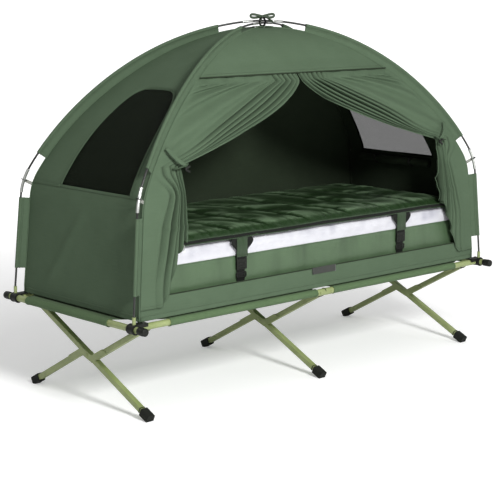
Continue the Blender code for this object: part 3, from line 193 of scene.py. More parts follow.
def buildMesh(name, places, quads, caps=(), flat=None):
    # mesh from whole arrays; caps are polygons given as lists of corners, flat is the cloth laid flat
    mesh = bpy.data.meshes.new(name)
    places = places.reshape(-1, 3)
    corners = np.concatenate([quads.ravel(), *[np.asarray(cap) for cap in caps]]).astype(np.int32)
    counts = np.concatenate([np.full(len(quads), 4), [len(cap) for cap in caps]]).astype(np.int32)
    mesh.vertices.add(len(places))
    mesh.vertices.foreach_set("co", np.ascontiguousarray(places, np.float32).ravel())
    mesh.loops.add(len(corners))
    mesh.loops.foreach_set("vertex_index", corners)
    mesh.polygons.add(len(counts))
    starts = np.concatenate([[0], counts.cumsum()[:-1]]).astype(np.int32)
    mesh.polygons.foreach_set("loop_start", starts)
    mesh.update(calc_edges=True)
    if flat is not None:
        layer = mesh.uv_layers.new(name="flat")
        flat = flat.reshape(-1, 2)[corners]
        layer.data.foreach_set("uv", np.ascontiguousarray(flat, np.float32).ravel())
    mesh.validate()
    mesh.shade_smooth()
    return mesh


def makePiece(name, mesh, material, body, replaces=(), slotName=None):
    piece = bpy.data.objects.new(name, mesh)
    bpy.context.scene.collection.objects.link(piece)
    for one in material if isinstance(material, list) else [material]:
        mesh.materials.append(one)
    if body:
        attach(piece, body)
    if replaces:
        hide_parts(*replaces)
    return piece


def addWall(piece, thickness, offset=-1.0, lined=False):
    # cloth thickness; with a lining the inner side takes the second material
    wall = piece.modifiers.new("wall", "SOLIDIFY")
    wall.thickness = thickness
    wall.offset = offset
    if lined:
        wall.material_offset = 1
    return piece


def setRelief(piece, name, amount):
    # for the cloth materials, 0 to 1: how much painted shade darkens a fold, or how much a painted highlight
    # lightens a swell
    layer = piece.data.attributes.new(name, "FLOAT", "POINT")
    layer.data.foreach_set("value", np.ascontiguousarray(amount, np.float32).ravel())


def clothFlat(places):
    # flat coordinates in metres: arc length along each row, and along the middle column
    across = np.linalg.norm(np.diff(places, axis=1), axis=2).cumsum(1)
    across = np.hstack([np.zeros((len(places), 1)), across])
    across -= across[:, -1:] / 2
    up = runAlong(places[:, places.shape[1] // 2])
    return np.stack(np.broadcast_arrays(across, up[:, None]), -1)


clothWall = 0.0012     # thickness of sewn cloth, drawn heavier than its 0.3 mm


def clothPanel(name, places, material, body, outward, thickness=clothWall, lining=None, **more):
    # sheet of cloth from a grid of places, its outer side facing outward
    quads = pointOut(places, gridQuads(*places.shape[:2]), outward)
    mesh = buildMesh(name, places, quads, flat=clothFlat(places))
    piece = makePiece(name, mesh, [material, lining] if lining else material, body, **more)
    return addWall(piece, thickness, lined=bool(lining))


def sweepPlaces(path, profile, up, loop=False):
    # profile (sideways, upwards) carried along a path: sideways = way x up, upwards = sideways x way
    ahead = np.roll(path, -1, 0) - np.roll(path, 1, 0) if loop else np.gradient(path, axis=0)
    way = unit(ahead)
    side = unit(np.cross(way, np.broadcast_to(up, way.shape)))
    top = np.cross(side, way)
    shape = profile if profile.ndim == 3 else profile[None]
    return path[:, None] + shape[..., :1] * side[:, None] + shape[..., 1:] * top[:, None]


def sweptPiece(name, path, profile, material, body, up=(0, 0, 1), loop=False, **more):
    # closed profile carried along a path, closed at both ends or joined to itself
    path = np.asarray(path, float)
    places = sweepPlaces(path, profile, np.asarray(up, float), loop)
    rows, columns = places.shape[:2]
    quads = gridQuads(rows, columns, wrapRows=loop, wrapColumns=True)
    caps = [] if loop else endCaps(rows, columns)
    middles, normals = faceWays(places, quads[:columns])
    if (normals * (middles - middles.mean(0))).sum() < 0:
        quads, caps = quads[:, ::-1], [cap[::-1] for cap in caps]
    girth = runAlong(places[0])
    flat = np.stack(np.broadcast_arrays(girth[None], runAlong(path)[:, None]), -1)
    makePiece(name, buildMesh(name, places, quads, caps, flat), material, body, **more)


def roundProfile(radius, sides=16):
    # a number, or an array of radii of which the last axis goes round
    angle = turn * np.arange(sides) / sides
    return np.stack([radius * np.cos(angle), radius * np.sin(angle)], -1)


def flatProfile(width, thickness, power=4, sides=16):
    # superellipse: a flat band with rounded edges
    angle = turn * np.arange(sides) / sides
    c, s = np.cos(angle), np.sin(angle)
    return np.stack([width / 2 * np.sign(c) * abs(c) ** (2 / power),
                     thickness / 2 * np.sign(s) * abs(s) ** (2 / power)], -1)


def bulged(profile, along, power, end, least=None):
    # profile for a toggle, knot or screw head: full in the middle, narrow where along is 1 or -1
    share = np.sqrt(np.clip(1 + end - along ** power, end if least is None else least, 1))
    return share[..., None] * profile


def tentBand(name, path, width, thickness, up, material=None, power=4, **more):
    # narrow band of the tent's cloth: hem, binding or ribbon
    sweptPiece(name, path, flatProfile(width, thickness, power), material or tentCloth, "tent",
               up=up, slotName="tent_fabric", **more)


def evenly(path, step):
    # places at even distances along a path
    run = runAlong(path)
    places = np.linspace(0, run[-1], max(2, int(round(run[-1] / step))))
    return np.stack([np.interp(places, run, path[:, i]) for i in range(3)], -1)


stitch = {"pitch": 0.0085, "length": 0.0056, "width": 0.0011, "proud": 0.0004}   # drawn at twice its size


def stitchRow(name, path, up, body="tent", material=None):
    # sewing thread: small boats along a path, each four rings of four corners
    centres = evenly(np.asarray(path, float), stitch["pitch"])
    way = unit(np.gradient(centres, axis=0))
    side = unit(np.cross(way, np.broadcast_to(np.asarray(up, float), way.shape)))
    top = np.cross(side, way)
    along = np.repeat([-0.5, -0.32, 0.32, 0.5], 4) * stitch["length"]
    fat = np.repeat([0.25, 1.0, 1.0, 0.25], 4) * stitch["width"] / 2
    angle = np.tile(turn * np.arange(4) / 4, 4)
    shape = pointsOf(along, np.cos(angle) * fat, np.sin(angle) * fat)
    frames = np.stack([way, side, top], 1)
    places = (centres + top * stitch["proud"])[:, None] + shape[None] @ frames
    boat = np.vstack([gridQuads(4, 4, wrapColumns=True)[:, ::-1], [[0, 1, 2, 3], [15, 14, 13, 12]]])
    quads = (boat[None] + np.arange(len(centres))[:, None, None] * 16).reshape(-1, 4)
    makePiece(name, buildMesh(name, places, quads), material or threadGreen, body)


# Finishes of the hard parts

def powderCoat():
    # polyester powder coat on steel tube, sprayed and baked: satin, with a faint orange peel
    look = {"colour": "#7f8b58", "worn": "#939d6c", "peel": 0.0022, "roughness": 0.40}
    material, tree, place = newMaterial("powder coated steel")
    peel = addNoise(tree, place, 1 / look["peel"], 2.0)
    wear = addNoise(tree, place, 14.0, 6.0, Roughness=0.65)
    spots = addNode(tree, "ValToRGB", None, {0: wear})
    stops = ((0.42, look["colour"]), (0.78, look["worn"]))
    for stop, (position, colour) in zip(spots.color_ramp.elements, stops):
        stop.position, stop.color = position, hexToLinear(colour)
    rough = addRange(tree, wear, look["roughness"] - 0.06, look["roughness"] + 0.1)
    closeMaterial(tree, {"IOR": 1.5, "Coat Weight": 0.15, "Coat Roughness": 0.25},
                  {"Base Color": spots, "Roughness": rough, "Normal": addBump(tree, peel, 0.12, 0.0002)})
    return material


def mouldedBlack(name, colour, roughness, grain, depth):
    # injection moulded black plastic or rubber: matt, with the fine grain of the mould and a little dust
    material, tree, place = newMaterial(name)
    dust = addNoise(tree, place, 30.0, 5.0)
    tone = addMix(tree, addRange(tree, dust, 0.0, 0.5, 0.5, 0.9), colour, "#2c2f29")
    bump = addBump(tree, addNoise(tree, place, 1 / grain, 3.0), 0.25, depth)
    closeMaterial(tree, {"Roughness": roughness, "IOR": 1.49, "Specular IOR Level": 0.22},
                  {"Base Color": tone, "Normal": bump})
    return material


def zincSteel():
    # zinc plated steel, tumbled: soft bright metal with a cloudy bloom
    material, tree, place = newMaterial("zinc plated steel")
    rough = addRange(tree, addNoise(tree, place, 160.0, 4.0), 0.22, 0.42)
    closeMaterial(tree, {"Base Color": hexToLinear("#c8cac6"), "Metallic": 1.0}, {"Roughness": rough})
    return material


def fibreglass():
    # pultruded black fibreglass rod: glossy, with faint streaks along the rod
    material, tree, place = newMaterial("pultruded fibreglass", flat=True)
    spread = addNode(tree, "Mapping", {"Scale": (900.0, 12.0, 1.0)}, {"Vector": place})
    rough = addRange(tree, addNoise(tree, spread, 1.0, 2.0), 0.2, 0.38)
    closeMaterial(tree, {"Base Color": hexToLinear("#161814"), "IOR": 1.54, "Coat Weight": 0.3},
                  {"Roughness": rough})
    return material


def wovenCloth(name, look):
    # woven cloth on its flat coordinates: crossed threads, slubs along the weft, soft dips
    material, tree, place = newMaterial(name, flat=True)
    bands = 0.31416 / look["thread"]      # a wave texture's scale for one thread
    warp, weft = (addNode(tree, "TexWave", {"bands_direction": way, "Scale": bands}, {"Vector": place})
                  for way in "XY")
    weave = addNode(tree, "Math", {"operation": "MULTIPLY"}, {0: warp.outputs["Fac"], 1: weft.outputs["Fac"]})
    spread = addNode(tree, "Mapping", {"Scale": (18.0, 260.0, 1.0)}, {"Vector": place})
    slub = addNoise(tree, spread, 1.0, 3.0)
    cloud = addNoise(tree, place, 7.0, 4.0, Roughness=0.6)
    both = addNode(tree, "Math", {"operation": "MULTIPLY_ADD", 1: 0.6}, {0: slub, 2: weave})
    height = addNode(tree, "Math", {"operation": "MULTIPLY_ADD", 1: 1.0}, {0: cloud, 2: both})
    colour = addMix(tree, addRange(tree, height, 0.0, 1.0, 0.6, 1.8), look["shade"], look["colour"])
    # painted shade in the folds and a painted highlight on the swells, where the piece has them
    for relief, over in (("paintedFoldShade", look.get("deep", look["shade"])), ("paintedSwellHighlight", look.get("bright"))):
        if over:
            amount = addNode(tree, "Attribute", {"attribute_name": relief})
            colour = addMix(tree, amount.outputs["Fac"], colour, over)
    fine = addBump(tree, both, 0.35, look["thread"] * 0.15)
    kind = look.get("kind", "FBM")
    dips = addNoise(tree, place, look.get("dip", 22.0), 3.0, noise_type=kind, Distortion=0.6)
    normal = addBump(tree, dips, 0.5, look.get("depth", 0.0015), Normal=fine)
    closeMaterial(tree, {"Roughness": look["roughness"], "IOR": 1.5,
                         "Specular IOR Level": look.get("gleam", 0.5),
                         "Sheen Weight": look["sheen"], "Sheen Roughness": 0.4,
                         "Coat Weight": look.get("coat", 0.0), "Coat Roughness": 0.3},
                  {"Base Color": colour, "Normal": normal})
    return material


def windowNet():
    # no-see-um netting, black polyester: mostly dark, a little light comes through between threads
    look = {"colour": "#0c1408", "hole": 0.0032, "cover": 0.66}      # holes drawn coarser than 0.6 mm to show
    material, tree, place = newMaterial("polyester netting", flat=True)
    grid = {"distance": "CHEBYCHEV", "Scale": 1 / look["hole"], "Randomness": 0.0}
    holes = addNode(tree, "TexVoronoi", grid, {"Vector": place})
    cover = addRange(tree, holes, look["cover"] - 0.1, look["cover"] + 0.06, 0.2, 0.5)
    closeMaterial(tree, {"Base Color": hexToLinear(look["colour"]), "Roughness": 0.8,
                         "Specular IOR Level": 0.12}, {"Alpha": cover})
    return material


coated = powderCoat()
plastic = mouldedBlack("moulded polypropylene", "#161814", 0.46, 0.0009, 0.0001)
rubber = mouldedBlack("moulded rubber", "#191b17", 0.78, 0.0016, 0.0002)
zinc = zincSteel()
rodBlack = fibreglass()
netting = windowNet()
threadGreen = mouldedBlack("spun polyester thread", "#414d3b", 0.7, 0.0006, 0.0001)
# 210D polyester with a PU coat: dull outside; its inside drawn near black, which is painted shade of the
#                                closed tent
# its deep colour is painted shade, for the valleys of the curtain folds
tentCloth = wovenCloth("coated polyester", {
    "colour": "#536450", "shade": "#465643", "deep": "#1c2419", "thread": 0.0022,
    "roughness": 0.88, "sheen": 0.0, "gleam": 0.10})
tentInside = wovenCloth("coated polyester inside", {
    "colour": "#2b3526", "shade": "#20291c", "thread": 0.0022, "roughness": 0.9, "sheen": 0.0, "gleam": 0.2})
# 600D polyester of the cot's bed: coarse threads, matt
cotCloth = wovenCloth("heavy polyester", {
    "colour": "#566d4b", "shade": "#44583b", "thread": 0.0026,
    "roughness": 0.85, "sheen": 0.04, "gleam": 0.3})
# flocked PVC of the mattress top: white, without any gloss
# its deep colour is painted shade in the dips between the swells
flock = wovenCloth("white flocking", {
    "colour": "#cbcbcf", "shade": "#bcbcc2", "deep": "#a2a2ac", "thread": 0.0018,
    "roughness": 0.97, "sheen": 0.1, "depth": 0.010})
# supported PVC of the mattress sides: smooth, slightly waxy
# its deep colour is painted shade in the crease valleys
vinyl = wovenCloth("supported vinyl", {
    "colour": "#4f6649", "shade": "#40543b", "deep": "#33442f", "thread": 0.0016,
    "roughness": 0.42, "sheen": 0.0, "dip": 12.0, "depth": 0.007})
# downproof nylon taffeta: tight, glossy and full of small creases
# its deep colour is painted shade in the hollows, its bright colour a painted highlight on the swells
taffeta = wovenCloth("nylon taffeta", {
    "colour": "#2a4124", "shade": "#20321c", "deep": "#10180d", "bright": "#7d9676", "thread": 0.0012,
    "roughness": 0.30, "sheen": 0.0, "gleam": 0.32, "coat": 0.25,
    "dip": 9.0, "kind": "RIDGED_MULTIFRACTAL", "depth": 0.026})
# nylon webbing: a flat woven band with a dull gleam
webbing = wovenCloth("nylon webbing", {
    "colour": "#1a1c19", "shade": "#10120f", "thread": 0.0028,
    "roughness": 0.6, "sheen": 0.03, "gleam": 0.15, "depth": 0.0005})
greyTape = wovenCloth("grey polyester tape", {
    "colour": "#8f918a", "shade": "#74766f", "thread": 0.0024,
    "roughness": 0.65, "sheen": 0.1, "depth": 0.0005})
# hook and loop tape, loop side: dark grey, fuzzy
loopTape = wovenCloth("looped tape", {
    "colour": "#3b3d39", "shade": "#2b2d2a", "thread": 0.0020,
    "roughness": 0.95, "sheen": 0.25, "depth": 0.0005})
# polyester ribbon of the bow
ribbonGreen = wovenCloth("polyester ribbon", {
    "colour": "#3a4a36", "shade": "#2b3828", "thread": 0.0018,
    "roughness": 0.5, "sheen": 0.1, "depth": 0.0005})
print("materials made")


# Frame nodes that stay: their finish, and smooth shading over the facets

finishes = {
    coated: ("straight_leg", "bent_leg", "crank_bracket", "pivot_rivet",
             "front_rail", "rear_rail", "end_bar"),
    plastic: ("end_cap", "corner_fitting", "buckle_"),
    rubber: ("front_foot", "rear_foot"),
    zinc: ("knee_ferrule",),
}


def dressNodes():
    for name, node in frame["nodes"].items():
        for material, stems in finishes.items():
            if name.startswith(stems):
                node.data.materials.clear()
                node.data.materials.append(material)
        custom = node.data.attributes.get("custom_normal")
        if custom:
            node.data.attributes.remove(custom)
        node.data.shade_smooth()
        weld = node.modifiers.new("weld", "WELD")
        weld.merge_threshold = 0.000005
        split = node.modifiers.new("split", "EDGE_SPLIT")
        split.split_angle = math.radians(34)


dressNodes()

# Sizes that the looks share with the frame
ends = (("left", -1), ("right", 1))
sides = (("front", -1), ("rear", 1))
cot = {"barX": 0.9525, "railY": 0.356, "railZ": 0.3505, "tube": 0.0125, "legX": 0.8763, "legSize": 0.022,
       "clothTop": 0.3645, "hem": 0.0142, "hemIn": 0.045, "hemOut": 0.790, "barHemCentre": 0.0275,
       "barHemHalf": 0.2525, "notch": 0.034}
poleFoot = np.array([0.9525, 0.3643, 0.3643])
tent = {"footReach": math.hypot(poleFoot[0], poleFoot[1]), "socket": 0.034, "kneeShare": 0.9655,
        "kneeZ": 0.795, "kneeLean": math.radians(27.25), "pullLow": 0.2692, "pullTop": 0.4982,
        "apexZ": 1.3873, "kneeRound": 0.055, "bottom": 0.3685, "flap": 0.0365, "flapTop": 0.0200,
        "finLow": 0.466, "finHigh": 0.736, "sleeveLow": 0.902, "sleeveTop": 0.185, "roofEnd": 0.030,
        "sillTop": 0.451, "visorZ": 1.200, "cloth": 0.002, "gap": 0.0003, "pole": 0.004}
diagonal = poleFoot[:2] / tent["footReach"]


def poleLine():
    # in the diagonal plane (reach, height): upright foot, straight wall, rounded knee, Bezier arch
    foot = np.array([tent["footReach"], poleFoot[2]])
    knee = np.array([tent["kneeShare"] * tent["footReach"], tent["kneeZ"]])
    top = np.array([0.0, tent["apexZ"]])
    low = knee + tent["pullLow"] * np.array([-math.sin(tent["kneeLean"]), math.cos(tent["kneeLean"])])
    high = top + np.array([tent["pullTop"], 0.0])
    t = np.linspace(0, 1, 240)[:, None]
    arch = (1 - t) ** 3 * knee + 3 * (1 - t) ** 2 * t * low + 3 * (1 - t) * t ** 2 * high + t ** 3 * top
    upright = foot + np.array([0.0, tent["socket"]])
    below = knee + unit(upright - knee) * tent["kneeRound"]
    start = int(np.searchsorted(runAlong(arch), tent["kneeRound"]))
    u = np.linspace(0, 1, 24)[:, None]
    bend = (1 - u) ** 2 * below + 2 * (1 - u) * u * knee + u ** 2 * arch[start]
    v = np.linspace(0, 1, 60)[:-1, None]
    return np.vstack([foot, upright * (1 - v) + below * v, bend, arch[start + 1:]])


line = poleLine()
lineWay = unit(np.gradient(line, axis=0))
inwardWay = np.stack([-lineWay[:, 1], lineWay[:, 0]], 1)
runs = runAlong(line)
widening = np.clip(line[:, 0] / (0.55 * tent["footReach"]), 0, 1) ** 1.2
flapWidth = tent["flapTop"] + (tent["flap"] - tent["flapTop"]) * widening
seam = line + inwardWay * flapWidth[:, None]


def atRun(values, run):
    return np.stack([np.interp(run, runs, values[:, 0]), np.interp(run, runs, values[:, 1])], -1)


def wayAt(values, run, step=0.003):
    return unit(atRun(values, run + step) - atRun(values, run - step))


def runAtHeight(height, values=seam):
    return np.interp(height, values[:, 1], runs)


def runAtShare(share):
    return float(np.interp(-share * tent["footReach"], -line[:, 0], runs))


def inSpace(point, sx, sy):
    # from the diagonal plane to the corner with signs sx and sy
    return np.stack([sx * diagonal[0] * point[..., 0], sy * diagonal[1] * point[..., 0], point[..., 1]], -1)


def levelAcross(sx, sy):
    # level direction square to that plane
    return np.array([-sy * diagonal[1], sx * diagonal[0], 0.0])


def crossingLift(reach, sign):
    return sign * (tent["pole"] + tent["gap"]) * np.exp(-(reach / 0.16) ** 2)


def poleAt(run, sx, sy, sign):
    # places of a pole, with its small step over or under the other one at the crossing
    point = atRun(line, run)
    places = inSpace(point, sx, sy)
    places[:, 2] += crossingLift(point[:, 0], sign)
    return places


bottomRun = float(runAtHeight(tent["bottom"]))
roofRun = runAtShare(tent["roofEnd"])
sillRun = float(runAtHeight(tent["sillTop"]))
visorRun = float(runAtHeight(tent["visorZ"]))


def edgeInset(run):
    # how far a long panel stops short of the corner seam
    way = wayAt(seam, run, 0.004)
    rise = abs(way[..., 1])
    steepEnd = rise / np.hypot(rise, diagonal[0] * way[..., 0])
    steepLong = rise / np.hypot(rise, diagonal[1] * way[..., 0])
    clear = tent["cloth"] / 2 + 4 * tent["gap"]
    toFlap = (clear - diagonal[0] * tent["cloth"] / 2 * steepLong) / diagonal[1]
    level = np.sqrt((1 - steepEnd ** 2) * (1 - steepLong ** 2))
    toWall = (clear - tent["cloth"] / 2 * level) / np.maximum(steepEnd, 0.05)
    return np.maximum(np.maximum(toFlap, toWall), clear)


# End walls with their arched windows

wall = {"window": 0.203, "low": 0.800, "tall": 0.350, "centre": 0.048, "taper": 0.20, "sag": 0.003,
        "fold": 0.0045, "side": 44, "rings": 30, "pane": 0.006, "paneIn": 0.0035, "paneSag": 0.004}
trims = (("Binding", 0.004, 0.0008), ("StitchInner", 0.001, 0.0016), ("StitchOuter", 0.0075, 0.0016))


def windowEdge(sign, t, grow=0.0):
    # arched outline (y, z) for t from -1 at the left foot over 0 at the crown to 1 at the right foot
    share = np.sin(math.pi / 2 * (1 - abs(t)))
    half = (wall["window"] + grow) * (1 - wall["taper"] * share) * (1 - share ** 4) ** 0.25
    return sign * wall["centre"] + np.sign(t) * half, wall["low"] - grow + (wall["tall"] + 2 * grow) * share


def wallHalf(run):
    # half of an end wall's width
    return diagonal[1] * atRun(seam, run)[..., 0]


def endPlaces(sx, run, y, out):
    # place on an end wall: its line follows the corner seam, y runs across, out is along its normal
    point, way = atRun(seam, run), wayAt(seam, run)
    x = diagonal[0] * point[..., 0] + out * way[..., 1]
    return pointsOf(sx * x, y, point[..., 1] - out * way[..., 0] * diagonal[0])


def endSag(sx, run, y):
    # taut cloth: hollow between the poles, slack near the floor hem, creases from the window's feet
    side = 1 - np.clip(abs(y) / wallHalf(run), 0, 1) ** 2
    height = ease(run, bottomRun, bottomRun + 0.10) * (1 - ease(run, roofRun - 0.25, roofRun))
    soft = ripples(y, run, 11 + sx, 9, 0.16, 0.7, 1.6) * 0.0024
    fold = np.exp(-((y * 0.8 + (run - bottomRun - 0.18) * 0.55 + 0.10 * sx) / 0.020) ** 2)
    low = 1 - ease(run, bottomRun + 0.25, bottomRun + 0.42)
    return side * height * (-wall["sag"] + soft + fold * low * wall["fold"])


def endWall(end, sx):
    n = wall["side"]
    part = np.arange(n) / n
    # outer border, then window outline: foot, one side, crown, other side, n places each
    low, high = wallHalf(bottomRun), wallHalf(roofRun)
    upRun = bottomRun + (roofRun - bottomRun) * part
    downRun = roofRun + (bottomRun - roofRun) * part
    borderY = np.concatenate([low * (2 * part - 1), wallHalf(upRun),
                              high * (1 - 2 * part), -wallHalf(downRun)])
    borderRun = np.concatenate([np.full(n, bottomRun), upRun, np.full(n, roofRun), downRun])
    footY = windowEdge(sx, np.array([-1.0, 1.0]))[0]
    arch = np.concatenate([1 - 0.55 * part, 0.45 - 0.9 * part, -0.45 - 0.55 * part])
    archY, archZ = windowEdge(sx, arch)
    innerY = np.concatenate([footY[0] + (footY[1] - footY[0]) * part, archY])
    innerRun = runAtHeight(np.concatenate([np.full(n, wall["low"]), archZ]))
    ring = np.linspace(0, 1, wall["rings"])[:, None]
    y = innerY + (borderY - innerY) * ring
    run = innerRun + (borderRun - innerRun) * ring
    places = endPlaces(sx, run, y, endSag(sx, run, y))
    quads = pointOut(places, gridQuads(*run.shape, wrapColumns=True), (sx, 0, 0.4))
    mesh = buildMesh(f"{end}EndWall", places, quads, flat=np.stack([y, run], -1))
    piece = makePiece(f"{end}EndWall", mesh, [tentCloth, tentInside], "tent",
                      replaces=[f"{end}_end_wall"], slotName="tent_fabric")
    return addWall(piece, clothWall, lined=True)


def windowPane(end, sx):
    # net pane in rows from the sill to the crown, hollowed a little
    share = np.linspace(0, 1, 40)[:, None] ** 0.8
    t = 1 - np.arcsin(share) / (math.pi / 2)
    edge, z = windowEdge(sx, t, wall["pane"])
    half = np.maximum(edge - sx * wall["centre"], 0.002)
    u = np.linspace(-1, 1, 40)[None]
    out = -wall["paneIn"] - wall["paneSag"] * (1 - u ** 2) * np.sin(math.pi * share)
    places = endPlaces(sx, runAtHeight(z), sx * wall["centre"] + half * u, out)
    return clothPanel(f"{end}WindowPane", places, netting, "tent", (sx, 0, 0.3), 0.0006,
                      replaces=[f"{end}_window_mesh"], slotName="window_mesh")


def onEndWall(sx, y, z, out):
    run = runAtHeight(z)
    return endPlaces(sx, run, y, endSag(sx, run, y) + out)


def windowTrim(end, sx):
    # bound edge round the pane, and the two sewn rows beside it
    up = (sx, 0, 0.25)
    footLine = np.linspace(1, -1, 40)[1:-1]
    for name, grow, out in trims:
        y, z = windowEdge(sx, np.linspace(-1, 1, 120), grow)
        y = np.concatenate([y, sx * wall["centre"] + footLine * (wall["window"] + grow)])
        z = np.concatenate([z, np.full(len(footLine), wall["low"] - grow)])
        path = onEndWall(sx, y, z, out)
        if name == "Binding":
            tentBand(f"{end}WindowBinding", path, 0.011, 0.0022, up, loop=True)
        else:
            stitchRow(f"{end}Window{name}", path, up)


def wallTapes(end, sx):
    # flat felled seam at the height of the window's foot, from each corner seam to the window
    up = (sx, 0, 0.2)
    z = wall["low"] - 0.004
    half = float(wallHalf(runAtHeight(z))) - 0.002
    feet = sx * wall["centre"] + np.array([-1, 1]) * (wall["window"] + 0.008)
    for number, (first, last) in enumerate(((-half, feet[0]), (feet[1], half))):
        y = np.linspace(first, last, 24)
        tentBand(f"{end}WallSeam{number}", onEndWall(sx, y, z, 0.0008), 0.014, 0.0022, up)
        for row, lift in enumerate((-0.0045, 0.0045)):
            stitchRow(f"{end}WallSeam{number}Stitch{row}", onEndWall(sx, y, z + lift, 0.0018), up)
    # hem along the wall's foot
    up = (sx, 0, 0.1)
    y = np.linspace(-1, 1, 40) * (float(wallHalf(bottomRun)) - 0.002)
    tentBand(f"{end}WallHem", onEndWall(sx, y, tent["bottom"] + 0.011, 0.0006), 0.020, 0.0026, up)
    stitchRow(f"{end}WallHemStitch", onEndWall(sx, y, tent["bottom"] + 0.018, 0.0018), up)


roll = {"radius": 0.016, "z": 0.772, "inside": 0.026, "loops": (-0.10, 0.10)}


def rolledCover(end, sx):
    # window cover rolled up under the pane on the inside: a spiral section with small folds along it
    y = np.linspace(-1, 1, 60) * (wall["window"] - 0.004) + sx * wall["centre"]
    angle = ringAngles(24).T
    radius = roll["radius"] * (1 + 0.06 * ripples(y[:, None], angle * 0.01, 5, 6, 0.02, 0.12))
    radius = radius * (1 + 0.10 * (angle / turn))
    # drawn in where the two loops hold it
    radius *= (1 - 0.16 * np.exp(-(((y - sx * wall["centre"])[:, None] / 0.10) % 2 - 1) ** 2 / 0.006))
    sweptPiece(f"{end}RolledCover", onEndWall(sx, y, roll["z"], -roll["inside"]), roundProfile(radius, 24),
               tentInside, "tent", slotName="tent_fabric")
    around, length = ringAngles(28), np.linspace(-1, 1, 9)[:, None]
    for number, place in enumerate(roll["loops"]):
        centre = onEndWall(sx, sx * wall["centre"] + place, roll["z"], -roll["inside"])
        path = centre + roll["radius"] * 1.03 * (np.cos(around) * [1, 0, 0] + np.sin(around) * [0, 0, 1])
        sweptPiece(f"{end}CoverLoop{number}", path, flatProfile(0.010, 0.0012), webbing, "tent",
                   up=(0, 1, 0), loop=True)
        path = centre + [-sx * 0.021, 0, 0.004] + length * [0, 0, 0.013]
        sweptPiece(f"{end}CoverToggle{number}", path, bulged(roundProfile(0.0042, 10), length, 4, 0.05),
                   plastic, "tent", up=(0, 1, 0))


for end, sx in ends:
    wallPiece = endWall(end, sx)
    pane = windowPane(end, sx)
    windowTrim(end, sx)
    wallTapes(end, sx)
    rolledCover(end, sx)
print("end walls and windows made")


# Back wall, roof part over the door, and sill: ruled panels between the end walls

def longPlaces(sy, run, x, out):
    # place on the front (sy -1) or back (sy 1) panel, out along its normal
    point, way = atRun(seam, run), wayAt(seam, run)
    y = diagonal[1] * point[..., 0] + out * way[..., 1]
    return pointsOf(x, sy * y, point[..., 1] - out * way[..., 0] * diagonal[1])


def longHalf(run):
    return np.maximum(diagonal[0] * atRun(seam, run)[..., 0] - edgeInset(run), 0.002)


def longPanel(name, sy, run, columns, out, node, outward):
    run = run[:, None]
    u = np.linspace(-1, 1, columns)[None]
    x = longHalf(run) * u
    return clothPanel(name, longPlaces(sy, run, x, out(run, u, x)), tentCloth, "tent", outward,
                      lining=tentInside, replaces=[node], slotName="tent_fabric")


def backSag(run, u, x):
    height = ease(run, bottomRun, bottomRun + 0.12) * (1 - ease(run, roofRun - 0.25, roofRun))
    return (1 - u ** 2) * height * (-0.004 + 0.003 * ripples(x, run, 41, 10, 0.18, 0.8, 1.5))


def visorOut(run, u, x):
    # proud along its lower edge, where the curtains hang under it; small pulls from the crown
    edge = 1 - ease(run, visorRun - 0.012, visorRun + 0.10)
    crown = 1 - ease(run, roofRun - 0.25, roofRun)
    pull = 0.0018 * ripples(x, run, 23, 9, 0.10, 0.6, 2.5)
    return (1 - u ** 8) * (0.0150 * edge + crown * (pull - 0.002))


def sillOut(run, u, x):
    # pushed out a little by the mattress, with upright puckers
    push = 0.0022 * np.sin(math.pi * 0.8 * (run - bottomRun) / (sillRun - bottomRun))
    return (1 - u ** 8) * (push + 0.0009 * ripples(x, run, 7, 12, 0.03, 0.25, 4.0))


def longEdge(sy, z, out, inset=0.002):
    # line across a long panel at one height
    run = runAtHeight(z)
    return longPlaces(sy, run, np.linspace(-1, 1, 120) * (float(longHalf(run)) - inset), out)


def buildLongPanels():
    back = longPanel("backWall", 1, np.linspace(bottomRun, roofRun, 110), 90, backSag,
                     "back_wall", (0, 1, 0.4))
    visor = longPanel("doorVisor", -1, np.linspace(visorRun - 0.012, roofRun, 70), 110, visorOut,
                      "door_visor", (0, -0.5, 1))
    sill = longPanel("doorSill", -1, np.linspace(bottomRun, sillRun, 24), 260, sillOut,
                     "door_sill", (0, -1, 0))
    # bound edges of the door: under the visor and along the sill
    # the visor's hem is drawn in the near black inside cloth: a painted shadow line under the visor's edge
    visorEdge = longEdge(-1, tent["visorZ"] - 0.0085, 0.0146, 0.004)
    tentBand("visorHem", visorEdge, 0.0045, 0.0030, (0, -1, 0.35), tentInside)
    stitchRow("visorHemStitch", longEdge(-1, tent["visorZ"] + 0.002, 0.0158, 0.02), (0, -1, 0.4))
    sillEdge = longEdge(-1, tent["sillTop"] - 0.002, 0.0014)
    tentBand("sillBinding", sillEdge, 0.0045, 0.0030, (0, -1, 0.1), tentInside)
    # hems along the foot of both long sides
    for name, sy in (("front", -1), ("back", 1)):
        up = (0, sy, 0.1)
        tentBand(f"{name}FootHem", longEdge(sy, tent["bottom"] + 0.010, 0.0008), 0.018, 0.0026, up)
        stitchRow(f"{name}FootStitch", longEdge(sy, tent["bottom"] + 0.017, 0.0022), up)
    # bare patch of loop tape on the sill
    path = longPlaces(-1, float(runAtHeight(0.438)), np.linspace(-0.062, 0.067, 24), 0.0042)
    sweptPiece("sillPatch", path, flatProfile(0.026, 0.0016), loopTape, "tent", up=(0, -1, 0.1))


def buildCornerSeams():
    # felled seam down each corner of the tent, with its bound allowance on the inside
    run = np.linspace(bottomRun, roofRun - 0.004, 150)
    for end, sx in ends:
        for side, sy in sides:
            corner = inSpace(atRun(seam, run), sx, sy)
            into = inSpace(unit(atRun(inwardWay, run)), sx, sy)
            out = np.array([sx * diagonal[1], sy * diagonal[0], 0.0])
            name = f"{end}{side.title()}Seam"
            tentBand(name, corner, 0.0060, 0.0044, out, power=2.5)
            tentBand(f"{name}Binding", corner + into * 0.0075, 0.0022, 0.0150, into, tentInside)


buildLongPanels()
buildCornerSeams()
print("long panels made")


# Door curtains, gathered at their ties

